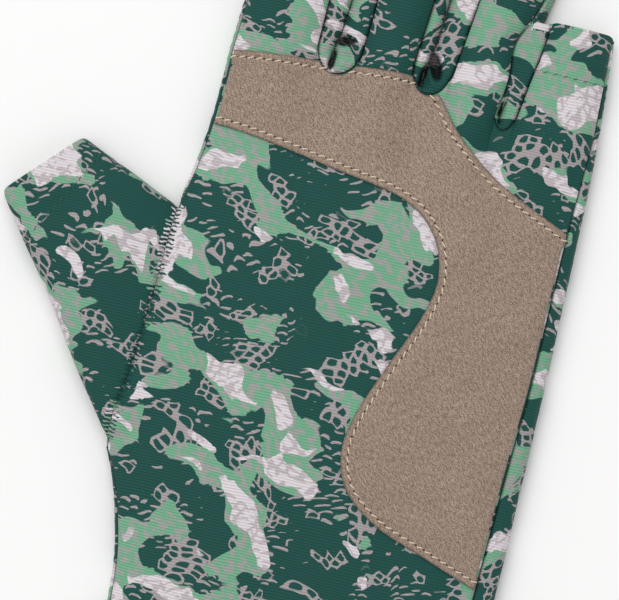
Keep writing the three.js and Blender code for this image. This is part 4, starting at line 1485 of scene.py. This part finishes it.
patch_floor = laid_on(palm_tree, patch_plan)[0]
to_cut = flat_distance(patch_plan, cut_edges)
to_side = flat_distance(patch_plan, side_points)
thickness = np.full(len(patch_plan), SUEDE)
thickness -= STITCH_GROOVE * np.exp(-(((to_cut - STITCH_INSET) / STITCH_GROOVE_WIDTH) ** 2))
thickness -= EDGE_ROUNDING * (1 - smoothstep(to_cut, 0, EDGE_ROUNDING_WIDTH))
thickness *= lerp(SEAM_THINNING, 1, smoothstep(to_side, 0, SEAM_THINNING_WIDTH))
top = patch_floor + [0, 0, 1] * thickness[:, None]
bottom = patch_floor + [0, 0, PATCH_LIFT]
a, b, c = (patch_plan[patch_triangles[:, corner]] for corner in range(3))
upward = (b - a)[:, 0] * (c - a)[:, 1] - (b - a)[:, 1] * (c - a)[:, 0] > 0
triangles = np.where(upward[:, None], patch_triangles, patch_triangles[:, ::-1])
border = open_edges(triangles.tolist())
total = len(top)
side_faces = [(start, start + total, end + total, end) for start, end in border]
patch_faces = triangles.tolist() + (triangles[:, ::-1] + total).tolist() + side_faces
patch = cloth_object(
    "suede_patch",
    np.concatenate([top, bottom]),
    patch_faces,
    np.concatenate([patch_plan, patch_plan]),
    np.arange(len(patch_faces)) < 2 * len(triangles),
    {"to_cut": np.concatenate([to_cut, 0 * to_cut])},
)

SUEDE_TAN = (0.300, 0.222, 0.171, 1)
SUEDE_DARK = (0.140, 0.095, 0.070, 1)
SUEDE_PALE = (0.480, 0.380, 0.305, 1)
SUEDE_LOOKS = {"Roughness": 0.95, "Specular IOR Level": 0.15, "Sheen Weight": 0.25, "Sheen Roughness": 0.5}
FINE_NAP_SHARE = 0.75
NAP_TURN = 0.9
NAP_STRETCH = (0.35, 1.0)
NAP_MIDDLE = 0.5
NAP_DARKEST = 0.36
NAP_PALEST = 0.66
BROAD_SHADE = (0.90, 1.10)
# Painted shadow along the patch's cut edges: reach and strength
PAINTED_CUT_EDGE_SHADE_REACH = (0.00005, 0.0006)
PAINTED_CUT_EDGE_SHADE = 0.55

suede = new_material("tan micro-suede", SUEDE_LOOKS)
tree = suede.node_tree
nap_mm = cloth_mm(tree)
fine_nap = noise(tree, nap_mm, size=0.34, shift=2.0, detail=3, roughness=0.75)
long_nap = noise(tree, slanted(tree, nap_mm, NAP_TURN, NAP_STRETCH), size=0.5, shift=14.0)
broad_nap = noise(tree, nap_mm, size=9.0, shift=33.0, detail=2)
long_part = calc(tree, "MULTIPLY", long_nap, 1 - FINE_NAP_SHARE)
fibre = calc(tree, "MULTIPLY_ADD", fine_nap, FINE_NAP_SHARE, long_part)
nap_colour = mix_colour(tree, remap(tree, fibre, NAP_MIDDLE, NAP_DARKEST), SUEDE_TAN, SUEDE_DARK)
nap_colour = mix_colour(tree, remap(tree, fibre, NAP_MIDDLE, NAP_PALEST), nap_colour, SUEDE_PALE)
# Painted shadow: the suede is darkened along its cut edges, and this is multiplied with the nap's random
# broad tone
painted_cut_edge_shade = remap(tree, attribute(tree, "to_cut"), *PAINTED_CUT_EDGE_SHADE_REACH, PAINTED_CUT_EDGE_SHADE)
nap_tone_and_painted_edge_shade = calc(tree, "MULTIPLY", remap(tree, broad_nap, 0, 1, *BROAD_SHADE), painted_cut_edge_shade)
nap_colour = vector_calc(tree, "SCALE", nap_colour, nap_tone_and_painted_edge_shade)
dress(suede, nap_colour, fibre, strength=0.6, distance=0.00025)
patch.data.materials.append(suede)
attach(patch, "root")
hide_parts("palm_patch")


# Lockstitches
# Cream thread along both cut edges of the patch, and dark green thread at the hems of the thumb,
# the fingers and the cuff. Each stitch dips into a pinhole at both of its ends.

STITCH_PITCH = 0.0024
STITCH_LENGTH = 0.0017
STITCH_RADIUS = 0.00020
STITCH_ARCH = 0.00032
STITCH_SINK = 0.00020
STITCH_SLANT = math.radians(20)
PINHOLE_RADIUS = 0.00028
HEM_PINHOLE_RADIUS = 0.00013
PINHOLE_FLATNESS = 0.35
PINHOLE_CELLS = {"Segments": 8, "Rings": 5}
HEM_STITCH_RADIUS = 0.00009
STITCH_END = 0.0008
CUFF_HEM_DEPTH = 0.012
CUFF_HEM_END = 0.001
CUFF_HEM_POINTS = 120
FINGER_HEM_END = 0.03
FINGER_HEM_POINTS = 40
THUMB_HEM_END = 10
THREAD_CELLS = 7
STRANDS_PER_MM = 4.0
STRAND_RANGE = (0.3, 0.7)
STRAND_SHADE = (0.72, 1.12)
THREAD_LOOKS = {"Roughness": 0.6, "Sheen Weight": 0.2}
PINHOLE_LOOKS = {"Roughness": 1.0, "Sheen Weight": 0.0}


def lockstitch_tree():
    """Geometry nodes: stitches and pinholes along the edges of a mesh, whose points know their up."""
    sizes = ("Pitch", "Length", "Thread Radius", "Arch", "Sink", "Slant", "Pinhole Radius")
    inputs = {"Geometry": "Geometry", **{name: "Float" for name in sizes}}
    inputs.update({"Thread": "Material", "Pinhole": "Material"})
    tree, given, result = new_group("lockstitch row", inputs, {"Geometry": "Geometry"}, "GeometryNodeTree")
    path = put(tree, "GeometryNodeMeshToCurve", {"Mesh": given["Geometry"]})
    path_inputs = {"Curve": path, "Length": given["Pitch"]}
    even = put(tree, "GeometryNodeResampleCurve", path_inputs, mode="LENGTH")
    tangent = put(tree, "GeometryNodeInputTangent")
    up = add(tree, "GeometryNodeInputNamedAttribute", {"Name": "up"}, data_type="FLOAT_VECTOR")
    along = put(tree, "FunctionNodeAlignRotationToVector", {"Vector": tangent}, axis="X")
    up_inputs = {"Rotation": along, "Vector": up.outputs["Attribute"]}
    upright = put(tree, "FunctionNodeAlignRotationToVector", up_inputs, axis="Z", pivot_axis="X")
    slant = put(tree, "ShaderNodeCombineXYZ", {"Z": given["Slant"]})
    turn_inputs = {"Rotation": upright, "Rotate By": slant}
    turned = put(tree, "FunctionNodeRotateRotation", turn_inputs, rotation_space="LOCAL")

    def placed(points, instance, material):
        inputs = {"Points": points, "Instance": instance, "Rotation": turned}
        instances = put(tree, "GeometryNodeInstanceOnPoints", inputs)
        real = put(tree, "GeometryNodeRealizeInstances", {"Geometry": instances})
        return put(tree, "GeometryNodeSetMaterial", {"Geometry": real, "Material": given[material]})

    half = calc(tree, "MULTIPLY", given["Length"], 0.5)
    sunk = calc(tree, "MULTIPLY", given["Sink"], -1)
    bow = {
        "Resolution": THREAD_CELLS,
        "Start": put(tree, "ShaderNodeCombineXYZ", {"X": calc(tree, "MULTIPLY", half, -1), "Z": sunk}),
        "Middle": put(tree, "ShaderNodeCombineXYZ", {"Z": calc(tree, "MULTIPLY", given["Arch"], 2)}),
        "End": put(tree, "ShaderNodeCombineXYZ", {"X": half, "Z": sunk}),
    }
    arc = put(tree, "GeometryNodeCurveQuadraticBezier", bow)
    section_inputs = {"Resolution": THREAD_CELLS, "Radius": given["Thread Radius"]}
    section = put(tree, "GeometryNodeCurvePrimitiveCircle", section_inputs)
    stitch_inputs = {"Curve": arc, "Profile Curve": section, "Fill Caps": True}
    stitch = put(tree, "GeometryNodeCurveToMesh", stitch_inputs)
    stitch = put(tree, "GeometryNodeSetShadeSmooth", {"Geometry": stitch, "Shade Smooth": True})
    dimple_inputs = {**PINHOLE_CELLS, "Radius": given["Pinhole Radius"]}
    dimple = put(tree, "GeometryNodeMeshUVSphere", dimple_inputs)
    dimple = put(tree, "GeometryNodeTransform", {"Geometry": dimple, "Scale": (1, 1, PINHOLE_FLATNESS)})
    step = vector_calc(tree, "SCALE", tangent, calc(tree, "MULTIPLY", given["Pitch"], 0.5))
    between = put(tree, "GeometryNodeSetPosition", {"Geometry": even, "Offset": step})
    joined = tree.nodes.new("GeometryNodeJoinGeometry")
    tree.links.new(placed(even, stitch, "Thread"), joined.inputs[0])
    tree.links.new(placed(between, dimple, "Pinhole"), joined.inputs[0])
    plug(tree, result, {"Geometry": joined.outputs[0]})
    return tree


lockstitch = lockstitch_tree()


def thread_material(name, colour, looks):
    """Spun thread with fine strands across it, or the painted shade of a pinhole."""
    material = new_material(name, looks)
    tree = material.node_tree
    place = add(tree, "ShaderNodeTexCoord").outputs["Object"]
    strand_inputs = {"Vector": vector_calc(tree, "SCALE", place, 1000), "Scale": STRANDS_PER_MM, "Detail": 2}
    strands = add(tree, "ShaderNodeTexNoise", strand_inputs).outputs["Fac"]
    shade = remap(tree, strands, *STRAND_RANGE, *STRAND_SHADE)
    dress(material, vector_calc(tree, "SCALE", colour, shade), strands, strength=0.5, distance=0.0001)
    return material


cream_thread = thread_material("cream thread", (0.760, 0.620, 0.470), THREAD_LOOKS)
green_thread = thread_material("green thread", (0.030, 0.125, 0.095), THREAD_LOOKS)
# Painted shade: the pinholes are shallow dimples coloured near black, for the shade inside a needle hole
suede_pinhole_shade = thread_material("painted pinhole shade in suede", (0.030, 0.018, 0.012), PINHOLE_LOOKS)
knit_pinhole_shade = thread_material("painted pinhole shade in knit", (0.004, 0.020, 0.016), PINHOLE_LOOKS)


def stitch_rows(name, rows, thread, pinhole, radius, hole_radius):
    """Rows of stitches. Each row is a line of points on the cloth, with the cloth's normals."""
    points, edges, ups = [], [], []
    for places, normals in rows:
        first = len(points)
        points += [tuple(place) for place in places]
        ups += [tuple(normal) for normal in normals]
        edges += [(first + i, first + i + 1) for i in range(len(places) - 1)]
    mesh = bpy.data.meshes.new(name + "_path")
    mesh.from_pydata(points, edges, [])
    up = mesh.attributes.new("up", "FLOAT_VECTOR", "POINT")
    up.data.foreach_set("vector", np.array(ups).ravel())
    source = linked(name + "_path", mesh)
    modifier = source.modifiers.new("stitches", "NODES")
    modifier.node_group = lockstitch
    values = {
        "Pitch": STITCH_PITCH,
        "Length": STITCH_LENGTH,
        "Thread Radius": radius,
        "Arch": STITCH_ARCH,
        "Sink": STITCH_SINK,
        "Slant": STITCH_SLANT,
        "Pinhole Radius": hole_radius,
        "Thread": thread,
        "Pinhole": pinhole,
    }
    for socket in lockstitch.interface.items_tree:
        if socket.in_out == "INPUT" and socket.name in values:
            modifier[socket.identifier] = values[socket.name]
    evaluated = source.evaluated_get(bpy.context.evaluated_depsgraph_get())
    finished = bpy.data.meshes.new_from_object(evaluated)
    finished.name = name
    made = linked(name, finished)
    bpy.data.objects.remove(source)
    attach(made, "root")
    return made


def patch_stitch_line(edge, side):
    """A line on the patch beside a cut edge, in stretches that the strips don't cover."""
    line = moved_in(edge, STITCH_INSET, side)
    shown = between_seams(line, STITCH_END) & (line[:, 1] < slot_ceiling(line[:, 0]) - 2 * STITCH_RADIUS)
    breaks = np.flatnonzero(np.diff(shown.astype(int))) + 1
    stretches = [part for part in np.split(np.arange(len(line)), breaks) if shown[part[0]]]
    long_enough = [part for part in stretches if len(part) * PATCH_EDGE_STEP >= STITCH_PITCH]
    return [laid_on(patch_tree, line[part]) for part in long_enough]


patch_tree = BVHTree.FromPolygons([tuple(point) for point in top], triangles.tolist())
stitched_rows = patch_stitch_line(upper_edge, -1) + patch_stitch_line(lower_edge, 1)
patch_stitches = stitch_rows(
    "patch_stitches", stitched_rows, cream_thread, suede_pinhole_shade, STITCH_RADIUS, PINHOLE_RADIUS
)


def finger_hem_line(finger):
    """A line across the palm side of a finger, one hem's depth below its opening."""
    depth = HEM_DEPTH / (FINGERS[finger]["reach"] - slot_depth(min(finger, 2)))
    row = HAND_ROWS + FINGER_ROWS * (1 - depth)
    shares = np.linspace(FINGER_HEM_END, 1 - FINGER_HEM_END, FINGER_HEM_POINTS)
    return np.array([palm_finger_point("finger", finger, share, row)[:2] for share in shares])


def cuff_hem_line():
    left = left_palm_edge(CUFF_HEM_DEPTH)[0] + CUFF_HEM_END
    right = right_roll(CUFF_HEM_DEPTH, 1)[0] - CUFF_HEM_END
    x = np.linspace(left, right, CUFF_HEM_POINTS)
    return np.stack([x, np.full(len(x), CUFF_HEM_DEPTH)], axis=1)


hem_share = 1 - HEM_DEPTH / THUMB_LENGTH
thumb_hem_line = thumb_ring(hem_share)[THUMB_HEM_END : HOLE_ROWS - THUMB_HEM_END + 1, :2]
hem_rows = [laid_on(palm_tree, finger_hem_line(finger)) for finger in range(4)]
hem_rows += [laid_on(palm_tree, cuff_hem_line()), laid_on(thumb_tree, thumb_hem_line)]
hem_stitches = stitch_rows(
    "hem_stitches", hem_rows, green_thread, knit_pinhole_shade, HEM_STITCH_RADIUS, HEM_PINHOLE_RADIUS
)
